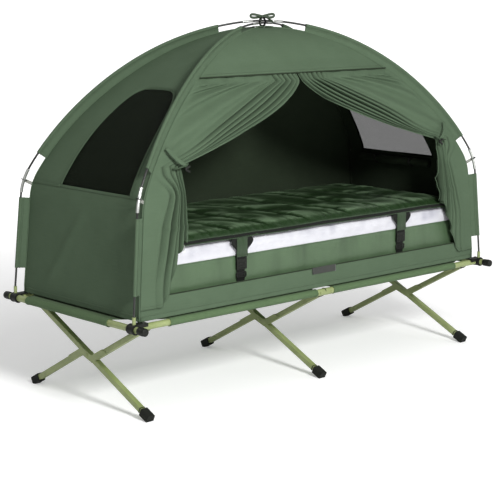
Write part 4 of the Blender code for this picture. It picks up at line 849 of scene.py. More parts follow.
curtain = {"hem": 0.408, "tieZ": 0.900, "tieX": 0.699, "meetZ": 1.170, "freeEnd": 0.640, "top": 1.205,
           "folds": 5.0, "more": 2.0, "depth": 0.028, "bundle": 0.031, "inward": 0.026, "shallow": 0.0030,
           "bandAtTie": 0.040, "bandWidening": 0.300, "swell": 0.0085, "step": 0.012, "proud": 0.0048}


def curtainEdge(z):
    # free edge: a swoop from the middle of the door down to the tie, then straight down
    share = np.clip((z - curtain["tieZ"]) / (curtain["meetZ"] - curtain["tieZ"]), 0, 1)
    return curtain["tieX"] * (1 - share) ** 1.5 + 0.008 * ease(share, 0, 1)


def curtainFoot(q):
    # lower hem: level near the corner seam, rising in steps to the free edge where the folds end
    steps = curtain["step"] * abs(np.sin(math.pi * curtain["folds"] * q / 0.62))
    rise = 1 - ease(q, 0.08, 0.60)
    return curtain["hem"] + (curtain["freeEnd"] - curtain["hem"]) * rise - steps * rise


def curtainPlaces(sx, z, q, out=0.0):
    # q runs from the free edge (0) to the corner seam (1); gives the places and the painted shade of the fold
    # valleys, 0 to 1
    point = atRun(seam, runAtHeight(z))
    inner = curtainEdge(z)
    whole = diagonal[0] * point[..., 0] - 0.0008 - inner
    above = z - curtain["tieZ"]
    # drawn together at the tie
    pinch = 1 - 0.60 * np.exp(-np.where(above > 0, (above / 0.085) ** 2, (abs(above) / 0.24) ** 1.5))
    x = inner + whole * q * (pinch + (1 - pinch) * ease(q, 0.35, 1.0))
    # the folded band keeps its width square to the free edge: 40 mm at the tie, 130 mm at the top
    slope = (curtainEdge(z + 0.004) - curtainEdge(z - 0.004)) / 0.008
    lean = np.sqrt(1 + np.where(above > 0, slope, -3.6) ** 2)
    wanted = curtain["bandAtTie"] + curtain["bandWidening"] * np.clip(above, 0, 0.3)
    share = 0.90 * np.tanh(wanted * lean / whole / 0.90)
    share = share + (0.86 - share) * ease(-above, 0.0, 0.34)
    band = whole * share * pinch / np.where(above > 0, lean, 1.0)
    # folds fan out over it, more of them and deeper where the bundle hangs below the tie
    hanging = ease(-above, 0.02, 0.11)
    folds = curtain["folds"] + curtain["more"] * hanging
    phase = folds * (q / share) ** (0.9 - 0.22 * hanging) + 0.10 * np.sin(z * 27 + 2 * sx)
    lobes = abs(np.sin(math.pi * phase)) ** 0.75
    uneven = 1 + 0.30 * np.sin(2.1 * np.floor(phase) + 1.3 * sx)
    free = hanging * ease(z, 0.665, 0.705)      # over the quilt the folds have room to reach inwards
    deepest = curtain["depth"] + (curtain["bundle"] - curtain["depth"]) * hanging + curtain["inward"] * free
    depth = np.clip((1.35 + 1.6 * hanging) * band / folds, curtain["shallow"], deepest) * uneven
    held = 1 - ease(q / share + 0.32 * hanging, 0.88, 1.30)
    calm = 0.35 + 0.65 * ease(z, 0.42, 0.72)
    # wide soft swells beside the band
    swoop = q / np.clip(share, 0.05, 1)
    wide = curtain["swell"] * np.sin(2.3 * swoop ** 1.25 * (1.5 + 0.4 * z) + 1.1 * sx + 5 * above)
    wide = wide * ease(swoop, 0.9, 1.6)
    wide += 0.0028 * ripples(swoop * 0.10, z, 61 + sx, 6, 0.12, 0.50, 3.0) * ease(swoop, 0.8, 1.3)
    # flat at the corner seam, and tucked in under the visor
    seamed = ease((1 - q) * whole, 0.0, 0.05)
    under = ease(z, 1.160, 1.198)
    lift = (depth * (lobes - 0.35 - 0.25 * free) * held * calm + wide) * seamed * (1 - 0.6 * under)
    y = -diagonal[1] * point[..., 0] - curtain["proud"] - lift - 0.0012 * seamed + 0.0052 * under - out
    # painted shade: strongest at the bottom of deep folds
    paintedFoldShade = (1 - lobes) ** 1.6 * held * calm * np.clip(depth / 0.012, 0, 1)
    return pointsOf(sx * x, y, z), paintedFoldShade


def buildCurtain(end, sx):
    q = np.linspace(0, 1, 300)[None] ** 1.12
    foot = curtainFoot(q)
    below = foot + (curtain["tieZ"] - foot) * np.linspace(0, 1, 72)[:, None]
    above = np.linspace(curtain["tieZ"], curtain["top"], 78)[1:, None] + 0 * q
    places, paintedFoldShade = curtainPlaces(sx, np.vstack([below, above]), q)
    piece = clothPanel(f"{end}Curtain", places, tentCloth, "tent", (0, -1, 0), 0.0011,
                       replaces=[f"door_curtain_{end}"], slotName="tent_fabric")
    # the fold valleys are darkened with painted shade
    setRelief(piece, "paintedFoldShade", paintedFoldShade)
    tentBand(f"{end}CurtainEdge", places[::2, 0] + [0, -0.0004, 0], 0.005, 0.0026, (0, -1, 0))
    q = np.linspace(0.06, 0.95, 70)
    hem = curtainPlaces(sx, curtainFoot(q) + 0.012, q, 0.0006)[0]
    stitchRow(f"{end}CurtainHemStitch", hem, (0, -1, 0))
    return piece


tie = {"seam": (0.757, -0.312, 0.966), "knot": (0.690, -0.347, 0.898), "bundle": (0.711, -0.334, 0.900),
       "across": 0.027, "deep": 0.0155}


def buildTie(end, sx):
    # ribbon from the corner seam round the gathers, with two toggles pushed through its loop
    start, knot, centre = (np.array(tie[name]) * [sx, 1, 1] for name in ("seam", "knot", "bundle"))
    u = np.linspace(0, 1, 30)[:, None]
    sagging = start + (knot - start) * u + [0, -0.012, -0.010] * np.sin(math.pi * u)
    tentBand(f"{end}TieRibbon", sagging, 0.014, 0.0014, (0, -1, 0.2))
    around = ringAngles(48)
    bundle = centre + tie["across"] * np.cos(around) * [sx, 0, -0.25]
    bundle = bundle + tie["deep"] * np.sin(around) * [0, 1, 0]
    tentBand(f"{end}TieLoop", bundle, 0.013, 0.0014, (sx * 0.25, 0, 1), loop=True)
    length = np.linspace(-1, 1, 11)[:, None]
    for number, lean in enumerate((0.35, -0.5)):
        path = knot + [sx * 0.004, -0.006, -0.002 - 0.012 * number]
        path = path + length * [0.013 * math.cos(lean), 0, 0.013 * math.sin(lean)]
        sweptPiece(f"{end}TieToggle{number}", path, bulged(roundProfile(0.0045, 12), length, 4, 0.06),
                   plastic, "tent", up=(0, 1, 0))


for end, sx in ends:
    curtainPiece = buildCurtain(end, sx)
    buildTie(end, sx)
print("curtains made")


# Poles, with the flaps and sleeves that hold the tent to them

sleeve = {"radius": 0.0062, "neck": 0.0115, "layers": 0.0009, "cloth": 0.0009, "straight": 7, "round": 19}
knee = {"z": 0.803, "tape": 0.013, "hook": 0.0078, "rims": (0.7585, 0.8405), "rim": 0.0066}
joint = {"share": 0.062, "half": 0.024, "radius": 0.0049}


def buildPoles():
    # each from its left foot over the crossing to the opposite foot
    for name, sy, sign in (("upper", 1, 1), ("lower", -1, -1)):
        half = poleAt(np.linspace(0, runs[-1], 260), -1, sy, sign)
        path = np.vstack([half, half[-2::-1] * [-1, -1, 1]])
        sweptPiece(f"{name}Pole", path, roundProfile(tent["pole"], 14), rodBlack, "tent",
                   up=np.cross(path[-1] - path[0], (0, 0, 1)), replaces=[f"tent_pole_{name}"],
                   slotName="black_fibreglass")


def sleeveProfile():
    # (towards the seam, sideways): out along one layer, round the pole, back along the other
    straight = np.linspace(1, 0, sleeve["straight"])
    circle = np.linspace(math.radians(32), math.radians(328), sleeve["round"])
    a = np.concatenate([straight, sleeve["radius"] * np.cos(circle), straight[::-1]])
    b = np.concatenate([0 * straight, sleeve["radius"] * np.sin(circle), 0 * straight])
    layer = np.repeat([1.0, 0.0, -1.0], [len(straight), len(circle), len(straight)])
    return a, b, layer


def buildSleeve(name, end, sx, sy, run):
    width = np.interp(run, runs, flapWidth)[:, None]
    pole = poleAt(run, sx, sy, -sx * sy)
    into = inSpace(unit(atRun(inwardWay, run)), sx, sy)
    sideways = levelAcross(sx, sy) * (sx * sy)
    a, b, layer = sleeveProfile()
    flat = layer != 0
    reach = np.where(flat, sleeve["neck"] + a * (width - sleeve["neck"]), a)
    slack = 0.0011 * ripples(run[:, None], reach, 3 + sx + 2 * sy, 7, 0.03, 0.22) * (reach > 0)
    pucker = 1 + 0.05 * ripples(run[:, None], a[None], 9 + sx + 2 * sy, 6, 0.015, 0.09)
    across = np.where(flat, layer * sleeve["layers"], b * pucker)
    across = across + slack * np.where(flat, 1.0, np.clip(a / sleeve["radius"], 0, 1))
    places = pole[:, None] + reach[..., None] * into[:, None] + across[..., None] * sideways
    # its round part faces away from the pole
    quads = gridQuads(*reach.shape)
    away = faceWays(places, quads)[0] - (pole[:-1] + into[:-1] * 0.01).repeat(len(a) - 1, 0)
    mesh = buildMesh(name, places, pointOut(places, quads, away), flat=clothFlat(places))
    piece = makePiece(name, mesh, tentCloth, "tent", replaces=[f"{end}_end_wall"], slotName="tent_fabric")
    addWall(piece, sleeve["cloth"], 0.0)
    for number, sign in enumerate((1, -1)):
        out = sideways * sign
        path = pole + into * (sleeve["neck"] + 0.001) + out * (sleeve["layers"] + 0.0008)
        stitchRow(f"{name}Stitch{number}", path, out)
    return piece


def buildSleeves():
    finRun = np.linspace(runAtHeight(tent["finLow"], line), runAtHeight(tent["finHigh"], line), 60)
    topRun = np.linspace(runAtHeight(tent["sleeveLow"], line), runAtShare(tent["sleeveTop"]), 150)
    for end, sx in ends:
        for side, sy in sides:
            name = end + side.title()
            fin = buildSleeve(f"{name}Fin", end, sx, sy, finRun)
            top = buildSleeve(f"{name}Sleeve", end, sx, sy, topRun)
            buildKneeStrap(name, sx, sy)


def buildKneeStrap(name, sx, sy):
    # grey tape from the corner of the wall to the ferrule, with a black hook clipped round it
    run = float(runAtHeight(knee["z"], line))
    level = levelAcross(sx, sy)
    pole = inSpace(atRun(line, run), sx, sy)
    corner = inSpace(atRun(seam, run - 0.006), sx, sy)
    u = np.linspace(-0.12, 0.78, 14)[:, None]
    out = unit(np.array([sx * diagonal[1], sy * diagonal[0], 0.0]))
    path = corner + (pole - corner) * u + out * 0.002 * np.sin(math.pi * u)
    sweptPiece(f"{name}KneeTape", path, flatProfile(knee["tape"], 0.0014), greyTape, "tent", up=level)
    axis = inSpace(wayAt(line, run, 0.004), sx, sy)
    a = unit(np.cross(axis, level))
    b = np.cross(axis, a)
    toward = unit(corner - pole)
    first = math.atan2(toward @ b, toward @ a)
    angle = first + np.linspace(math.radians(-35), math.radians(245), 26)[:, None]
    ring = pole + knee["hook"] * (np.cos(angle) * a + np.sin(angle) * b)
    sweptPiece(f"{name}KneeHook", ring, flatProfile(0.011, 0.0028, 5), plastic, "tent", up=axis + 0.001)


def buildFerruleEnds():
    # rolled rims of the knee ferrules, and the bright joint pieces either side of the crossing
    for end, sx in ends:
        for side, sy in sides:
            for number, z in enumerate(knee["rims"]):
                run = float(runAtHeight(z, line)) + np.array([-0.0012, 0.0, 0.0012])
                sweptPiece(f"{end}{side.title()}FerruleRim{number}", inSpace(atRun(line, run), sx, sy),
                           roundProfile(knee["rim"], 18), zinc, "tent", up=-levelAcross(sx, sy),
                           slotName="zinc_steel")
    run = runAtShare(joint["share"]) + np.linspace(-joint["half"], joint["half"], 9)
    for number, (sx, sy, sign) in enumerate(((-1, 1, 1), (1, -1, 1), (-1, -1, -1), (1, 1, -1))):
        sweptPiece(f"crossingJoint{number}", poleAt(run, sx, sy, sign), roundProfile(joint["radius"]),
                   zinc, "tent", up=-levelAcross(sx, sy), slotName="zinc_steel")


buildPoles()
buildSleeves()
buildFerruleEnds()
print("poles and sleeves made")


# Patch, loop and ribbon bow over the crossing

apex = {"patch": (0.092, 0.044), "loop": 0.0168, "bow": 0.130, "lobe": 0.00999, "ribbon": 0.010,
        "tail": 0.030}


def buildApex():
    low = float(atRun(seam, roofRun)[1]) + tent["cloth"] / 2 + tent["gap"]
    ring = np.linspace(1, 0.03, 14)[:, None]
    outline = flatProfile(1.0, 1.0, 5, 64)
    x = outline[None, :, 0] * apex["patch"][0] * ring
    y = outline[None, :, 1] * apex["patch"][1] * ring
    z = low + 0.0012 + 0.0022 * (1 - ring ** 4) - 0.10 * y ** 2 / 0.044 - 0.012 * x ** 2 / 0.092
    places = pointsOf(x, y, z + 0.0004 * ripples(x, y, 77, 6, 0.012, 0.05))
    quads = pointOut(places, gridQuads(14, 64, wrapColumns=True), (0, 0, 1))
    mesh = buildMesh("apexPatch", places, quads, [np.arange(64) + 13 * 64], np.stack([x, y], -1))
    patch = makePiece("apexPatch", mesh, tentCloth, "tent", replaces=["apex_tie"], slotName="tent_fabric")
    addWall(patch, clothWall, 0.0)
    stitchRow("apexPatchStitch", np.vstack([places[1], places[1, :1]]) + [0, 0, 0.0012], (0, 0, 1))
    around = ringAngles(56)
    ringPath = np.array([0, 0, tent["apexZ"]]) + apex["loop"] * (np.cos(around) * [0, 1, 0]
                                                                 + np.sin(around) * [0, 0, 1])
    sweptPiece("apexLoop", ringPath, flatProfile(0.009, 0.0020), webbing, "tent", up=(1, 0, 0), loop=True,
               replaces=["apex_tie"])
    # bow: a figure of eight lying along the bed, its ends lifted; ribbon width across the bed
    t = ringAngles(120)
    half = apex["bow"] / 2
    x = half * np.cos(t) / (1 + 0.12 * np.sin(t) ** 2)
    z = apex["lobe"] * np.sin(2 * t) / (1 + 0.6 * np.sin(t) ** 2)
    top = tent["apexZ"] + apex["loop"] + 0.0044
    bowPath = np.hstack([x, 0.002 * np.sin(t), top + z * 0.82 + 0.0035 * (x / half) ** 2])
    sweptPiece("ribbonBow", bowPath, flatProfile(apex["ribbon"], 0.0010), ribbonGreen, "tent", up=(0, 1, 0),
               loop=True, replaces=["apex_tie"])
    t = np.linspace(0, 1, 22)
    for number, sx in enumerate((-1, 1)):
        tail = pointsOf(sx * (0.004 + apex["tail"] * t), -0.006 - 0.020 * t, top - 0.004 - 0.020 * t ** 2)
        sweptPiece(f"bowTail{number}", tail, flatProfile(0.009, 0.0010), ribbonGreen, "tent",
                   up=(0, 0.6, 0.8))
    length = np.linspace(-1, 1, 9)[:, None]
    sweptPiece("bowKnot", [0, 0, top] + length * [0, 0.0062, 0],
               bulged(roundProfile(0.0058, 14), length, 4, 0.10), ribbonGreen, "tent", up=(0, 0, 1))


buildApex()
print("bow made")


# Bed cloth stretched over the frame, with hems round the rails and end bars

def bedClothPlaces():
    # plan: a long hexagon, widest at the rails; sags between the rails under the mattress
    x = np.linspace(-cot["barX"], cot["barX"], 150)[:, None]
    u = np.linspace(-1, 1, 60)[None]
    reach = np.clip((abs(x) - cot["hemOut"]) / (cot["barX"] - cot["hemOut"]), 0, 1)
    narrower, askew = cot["railY"] - cot["barHemHalf"], cot["barHemCentre"] * np.sign(x)
    notch = cot["notch"] * (1 - ease(abs(x), cot["hemIn"] - 0.010, cot["hemIn"] + 0.010))
    front = reach * (narrower - askew) - cot["railY"] + notch
    rear = cot["railY"] - reach * (narrower + askew) - notch
    y = front + (rear - front) * (u + 1) / 2
    edge = (1 - u ** 4) * (1 - (x / cot["barX"]) ** 8)
    z = cot["clothTop"] - 0.0012 - edge * (0.0018 + 0.0008 * ripples(x, y, 91, 10, 0.06, 0.5))
    return pointsOf(x, y, z)


def hemTube(name, start, end, body, seed):
    # sleeve of cloth round a tube: slightly oval, puckered along its seam, thicker at its sewn ends
    start, end = np.array(start), np.array(end)
    length = float(np.linalg.norm(end - start))
    count = max(30, int(length / 0.008))
    u = np.linspace(0, 1, count)[:, None]
    path = start + (end - start) * u
    angle = ringAngles(28).T
    rings = np.exp(-(np.minimum(u, 1 - u) / 0.009) ** 4) * 0.0007
    pucker = 0.00035 * ripples(u * length, angle * 0.012, seed, 10, 0.012, 0.12, 0.6)
    places = sweepPlaces(path, roundProfile(cot["hem"] + 0.0002 + rings + pucker, 28), (0.0, 0.0, 1.0))
    quads = gridQuads(count, 28, wrapColumns=True)
    middles, normals = faceWays(places, quads[:28])
    if (normals * (middles - path[0])).sum() < 0:
        quads = quads[:, ::-1]
    flat = np.stack(np.broadcast_arrays(angle * cot["hem"], u * length), -1)
    piece = makePiece(name, buildMesh(name, places, quads, flat=flat), cotCloth, body,
                      replaces=["bed_cloth"], slotName="bed_cloth")
    addWall(piece, clothWall)


def ringOn(name, centre, way, inner, outer, width, material, body):
    # collar round a tube
    way = unit(np.asarray(way, float))
    a = unit(np.cross(way, (0.3, 0.2, 0.93)))
    b = np.cross(way, a)
    angle = ringAngles(40)
    path = centre + (inner + outer) / 2 * (np.cos(angle) * a + np.sin(angle) * b)
    profile = flatProfile(width, outer - inner, 4, 12)[:, ::-1]
    sweptPiece(name, path, profile, material, body, up=way, loop=True)


def hemRing(name, centre, way, body):
    # the thick end of a hem, where it is turned in and sewn
    ringOn(name, centre, way, cot["hem"], cot["hem"] + 0.0016, 0.007, cotCloth, body)


def buildBedCloth():
    cloth = clothPanel("bedCloth", bedClothPlaces(), cotCloth, None, (0, 0, 1), 0.0011,
                       replaces=["bed_cloth"], slotName="bed_cloth")
    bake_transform(cloth)
    z = cot["railZ"]
    for side, sy in sides:
        y, body = sy * cot["railY"], f"{side}_frame"
        for end, sx in ends:
            half = end.title()
            hemTube(f"{side}RailHem{half}", (sx * cot["hemIn"], y, z), (sx * cot["hemOut"], y, z), body,
                    100 + sx + 3 * sy)
            x = sx * np.linspace(cot["hemIn"], cot["hemOut"], 90)
            path = pointsOf(x, y - sy * 0.018, cot["clothTop"] + 0.0004)
            stitchRow(f"{side}RailStitch{half}", path, (0, 0, 1), body)
            for number, x in enumerate((cot["hemIn"] + 0.004, cot["hemOut"] - 0.004)):
                hemRing(f"{side}HemRing{half}{number}", (sx * x, y, z), (1, 0, 0), body)
        ringOn(f"{side}RailJoint", (0, y, z), (1, 0, 0), 0.0105, 0.0147, 0.0028, plastic, body)
    for end, sx in ends:
        x, low = sx * cot["barX"], -cot["barHemCentre"] * sx - cot["barHemHalf"]
        high = low + 2 * cot["barHemHalf"]
        hemTube(f"{end}BarHem", (x, low, z), (x, high, z), "deck", 120 + sx)
        for number, y in enumerate((low + 0.004, high - 0.004)):
            hemRing(f"{end}BarHemRing{number}", (x, y, z), (0, 1, 0), "deck")


buildBedCloth()
print("bed cloth made")


# Small hard trims of the frame: plugs at the tops of the legs, beads of the caps, ribs of the fittings

legs = {"pivotZ": 0.1803, "straight": math.radians(25.56), "zig": math.radians(28.97), "offset": 0.0235,
        "boot": 0.078, "plugBelow": 0.010}
beads = {"Cap": {"at": (0.4085, 0.4165), "inner": 0.0146, "outer": 0.0153, "width": 0.0022},
         "Fitting": {"at": (0.3445, 0.3735), "inner": 0.0178, "outer": 0.0192, "width": 0.0040}}
shelf = {"ribX": 0.915, "ribZ": 0.3673, "ribs": (-0.0085, 0.0085), "screwX": 0.905, "screwZ": 0.3668}


def squareCollar(name, centre, way, size, thick, length, material, body):
    # rounded square band round a leg
    angle = ringAngles(48)
    c, s = np.cos(angle), np.sin(angle)
    across = np.array([1.0, 0.0, 0.0])
    path = centre + (size + thick) / 2 * (np.sign(c) * abs(c) ** 0.32 * across
                                          + np.sign(s) * abs(s) ** 0.32 * np.cross(way, across))
    sweptPiece(name, path, flatProfile(length, thick, 5, 12)[:, ::-1], material, body, up=way, loop=True)


def buildLegTrims():
    straightUp = np.array([0, math.cos(legs["straight"]), math.sin(legs["straight"])])
    zigUp = np.array([0, -math.cos(legs["zig"]), math.sin(legs["zig"])])
    zigAcross = np.array([0, math.sin(legs["zig"]), math.cos(legs["zig"])])
    pivot = np.array([0, 0, legs["pivotZ"]])
    for name, x in (("Left", -cot["legX"]), ("Middle", 0.0), ("Right", cot["legX"])):
        at = np.array([x, 0, 0])
        for stem, up, start, railY, body in (
                ("straight", straightUp, pivot, cot["railY"], "rear_frame"),
                ("bent", zigUp, pivot - zigAcross * legs["offset"], -cot["railY"], "front_frame")):
            toRail = np.array([0, railY, cot["railZ"]]) - start
            top = at + start + up * (toRail @ up - cot["tube"] - legs["plugBelow"])
            squareCollar(f"{stem}LegPlug{name}", top, up, cot["legSize"], 0.0016, 0.011, plastic, body)
        boot = at + pivot - straightUp * (pivot[2] / straightUp[2] - legs["boot"])
        squareCollar(f"straightLegBootLip{name}", boot, straightUp, cot["legSize"], 0.0012, 0.004, rubber,
                     "rear_frame")
        washer = pivot + at + [cot["legSize"] / 2 + 0.0012, 0, 0]
        ringOn(f"pivotWasher{name}", washer, (1, 0, 0), 0.0042, 0.0096, 0.0016, zinc, "rear_frame")


def buildCornerTrims():
    along = np.linspace(-0.014, 0.014, 8)[:, None] * [1, 0, 0]
    rise = np.linspace(0, 1, 6)[:, None]
    for side, sy in sides:
        for end, sx in ends:
            half = end.title()
            # beads of the end cap and the corner fitting
            for kind, bead in beads.items():
                for number, y in enumerate(bead["at"]):
                    centre = (sx * cot["barX"], sy * y, cot["railZ"])
                    ringOn(f"{side}{kind}Bead{half}{number}", centre, (0, 1, 0), bead["inner"], bead["outer"],
                           bead["width"], plastic, "deck")
            # two ribs and a screw on the fitting's shelf
            for number, y in enumerate(shelf["ribs"]):
                rib = [sx * shelf["ribX"], sy * (cot["railY"] + y), shelf["ribZ"]] + along
                sweptPiece(f"{side}ShelfRib{half}{number}", rib, flatProfile(0.0024, 0.0020), plastic, "deck")
            path = [sx * shelf["screwX"], sy * cot["railY"], shelf["screwZ"]] + rise * [0, 0, 0.0016]
            head = bulged(roundProfile(0.0042, 18), rise, 3, 0.02, 0.03)
            sweptPiece(f"{side}ShelfScrew{half}", path, head, zinc, "deck", up=(1, 0, 0))


buildLegTrims()
buildCornerTrims()
print("frame trims made")


# Air mattress: white flocked top band, green sides, a welt at the seam between them

pad = {"length": 1.760, "width": 0.650, "low": 0.3648, "high": 0.6173, "corner": 0.060, "round": 0.045,
       "foot": 0.032, "seam": 0.542, "valve": 0.125, "straps": (-0.415, 0.475)}


def roundedBorder(halfX, halfY, radius, step):
    # rounded rectangle as places and outward normals, at even distances, anticlockwise from (halfX, 0)
    corner = np.linspace(0, math.pi / 2, 24)
    arc = np.stack([np.cos(corner), np.sin(corner)], -1)
    places, normals = [], []
    for quarter, (sx, sy) in enumerate(((1, 1), (-1, 1), (-1, -1), (1, -1))):
        c, s = round(math.cos(quarter * math.pi / 2)), round(math.sin(quarter * math.pi / 2))
        normals.append(arc @ [[c, s], [-s, c]])
        places.append([sx * (halfX - radius), sy * (halfY - radius)] + radius * normals[-1])
    places, normals = (np.vstack(parts + [parts[0][:1]]) for parts in (places, normals))
    run = runAlong(places)
    at = np.linspace(0, run[-1], int(run[-1] / step), endpoint=False)
    pick = [np.interp(at, run, values[:, i]) for values in (places, normals) for i in (0, 1)]
    return np.stack(pick[:2], -1), unit(np.stack(pick[2:], -1)), at


def buildMattress():
    border, normal, at = roundedBorder(pad["length"] / 2, pad["width"] / 2, pad["corner"], 0.0095)
    # rings from under the foot of the side up to the top: height and inset
    footAngle = np.linspace(0, math.pi / 2, 9)[::-1]
    topAngle = np.linspace(0, math.pi / 2, 14)[1:]
    low = pad["low"] + pad["foot"] * (1 - np.sin(footAngle))
    side = np.linspace(low[-1], pad["seam"] - 0.002, 24)[1:]
    band = np.linspace(pad["seam"], pad["high"] - pad["round"], 8)
    top = pad["high"] - pad["round"] * (1 - np.sin(topAngle))
    height = np.concatenate([low, side, band, top])[:, None]
    inset = np.concatenate([pad["foot"] * (1 - np.cos(footAngle)), 0 * side, 0 * band,
                            pad["round"] * (1 - np.cos(topAngle))])[:, None]
    white = height >= pad["seam"] - 0.0005
    # puffed cloth, creased towards the seams and drawn in at the welt and under the straps
    share = np.clip((height - pad["low"] - 0.02) / (pad["seam"] - pad["low"] - 0.02), 0, 1)
    creases = 0.0046 * ripples(at[None], height, 31, 16, 0.028, 0.26, 7.0)
    creases = creases * (0.35 + 0.65 * abs(2 * share - 1))
    swells = 0.0040 * ripples(at[None], height, 33, 16, 0.04, 0.22, 1.8) * ease(height, 0.545, 0.575)
    soft = np.where(white, swells, creases)
    bulge = np.where(white, 0.0, 0.0030 * np.sin(math.pi * share))
    groove = -0.0030 * np.exp(-((height - pad["seam"]) / 0.0035) ** 2)
    strap = sum(np.exp(-((border[None, :, 0] - x) / 0.030) ** 4) for x in pad["straps"])
    strap = strap * (border[None, :, 1] < 0)
    out = (bulge + soft) * (1 - strap) - 0.0014 * strap + groove - inset - 0.0012
    ringPlaces = border[None] + normal[None] * out[..., None]
    places = pointsOf(ringPlaces[..., 0], ringPlaces[..., 1], height)
    # rings that close the top and the underside
    shrink = np.array([0.97, 0.85, 0.6, 0.3, 0.02])[:, None, None]
    topRing = places[-1:, :, :2] * shrink
    dimple = pad["high"] - 0.0016 * (1 - shrink) + 0 * topRing[..., :1]
    lowRing = places[:1, :, :2] * shrink[::-1]
    places = np.concatenate([np.concatenate([lowRing, np.full_like(dimple, pad["low"] + 0.0006)], -1), places,
                             np.concatenate([topRing, dimple], -1)])
    rows, columns = places.shape[:2]
    flat = np.stack(np.broadcast_arrays(at[None], runAlong(places[:, 0])[:, None]), -1)
    quads = gridQuads(rows, columns, wrapColumns=True)
    mesh = buildMesh("airMattress", places, quads, endCaps(rows, columns), flat)
    isTop = (places[:-1, 0, 2] >= pad["seam"] - 0.001) & (np.arange(rows - 1) > 8)
    slots = np.concatenate([np.repeat(isTop, columns), [False, True]])
    mesh.polygons.foreach_set("material_index", slots.astype(np.int32))
    piece = makePiece("airMattress", mesh, [vinyl, flock], "deck", replaces=["air_mattress"],
                      slotName="mattress_cover")
    # painted shade: the valleys of the creases and swells are drawn darker
    dip = np.zeros((rows, columns))
    dip[len(shrink):-len(shrink)] = np.clip(-soft / 0.0042, 0, 1) * (1 - strap)
    setRelief(piece, "paintedFoldShade", dip)
    welt = np.concatenate([border - normal * 0.0032, np.full((len(at), 1), pad["seam"])], 1)
    sweptPiece("mattressWelt", welt[::2], roundProfile(0.0022, 8), vinyl, "deck", loop=True,
               slotName="mattress_cover")
    # valve at the left end: a raised ring with its flat stopper
    u = np.linspace(0, 1, 9)[:, None]
    for number, (radius, reach) in enumerate(((0.0165, 0.0030), (0.0105, 0.0070))):
        path = [0.002 - pad["length"] / 2, 0, pad["low"] + pad["valve"]] + u * [-reach, 0, 0]
        sweptPiece(f"mattressValve{number}", path, bulged(roundProfile(radius, 32), u, 6, 0.02), plastic,
                   "deck", up=(0, 1, 0))


buildMattress()
print("mattress made")


# Quilt on the mattress: glossy shell, creased between its sewn channels, a zip along its front edge

quilt = {"half": 0.810, "edge": 0.336, "low": 0.6125, "high": 0.6516, "channel": 0.21, "stitched": 0.17,
         "rows": 250, "top": 70, "below": 22, "pressure": 2.0, "growth": 0.022, "frames": 20, "cap": 0.0034,
         "ceiling": 0.6531, "soft": 0.004}


def quiltSection(y):
    # (underside, upper side) at a place across the bed
    over = np.clip(abs(y) - pad["width"] / 2 + pad["round"], 0, pad["round"])
    rest = pad["high"] - pad["round"] + np.sqrt(np.maximum(pad["round"] ** 2 - over ** 2, 0))
    under = np.maximum(rest + 0.0006, quilt["low"])
    share = np.clip(abs(y) / quilt["edge"], 0, 1)
    upper = quilt["low"] + (quilt["high"] - quilt["low"]) * (1 - share ** 7) ** (1 / 2.4)
    return under, np.maximum(upper, under)


def smoothed(grid, reach):
    # running mean over a grid, reach cells to either side
    for axis in (0, 1):
        total = sum(np.roll(grid, step, axis) for step in range(-reach, reach + 1))
        grid = total / (2 * reach + 1)
    return grid


def puffUp(piece, held):
    # the shell as cloth: sewn lines and underside held, growing a little so that it creases, filled with air
    group = piece.vertex_groups.new(name="sewn")
    for weight in np.unique(held):
        group.add(np.flatnonzero(held == weight).tolist(), float(weight), "REPLACE")
    cloth = piece.modifiers.new("shell", "CLOTH")
    shell = cloth.settings
    shell.quality, shell.mass = 6, 0.12
    shell.tension_stiffness = shell.compression_stiffness = 14.0
    shell.shear_stiffness, shell.bending_stiffness = 7.0, 0.08
    shell.use_pressure, shell.uniform_pressure_force = True, quilt["pressure"]
    shell.shrink_min = -quilt["growth"]
    shell.vertex_group_mass = "sewn"
    shell.effector_weights.gravity = 0.0
    cloth.point_cache.frame_start, cloth.point_cache.frame_end = 1, quilt["frames"]
    for step in range(1, quilt["frames"] + 1):
        bpy.context.scene.frame_set(step)
    shaped = piece.evaluated_get(bpy.context.evaluated_depsgraph_get())
    before, after = (np.empty(3 * len(piece.data.vertices), np.float32) for _ in range(2))
    piece.data.vertices.foreach_get("co", before)
    shaped.data.vertices.foreach_get("co", after)
    piece.modifiers.remove(cloth)
    piece.vertex_groups.remove(group)
    bpy.context.scene.frame_set(1)
    move = (after - before).reshape(-1, 3)
    length = np.linalg.norm(move, axis=1, keepdims=True)
    move *= quilt["cap"] * np.tanh(length / quilt["cap"]) / np.maximum(length, 1e-9)
    print("quilt puffed up, furthest", round(float(length.max()) * 1000, 1), "mm")
    return before.reshape(-1, 3) + move * (1 - held[:, None])


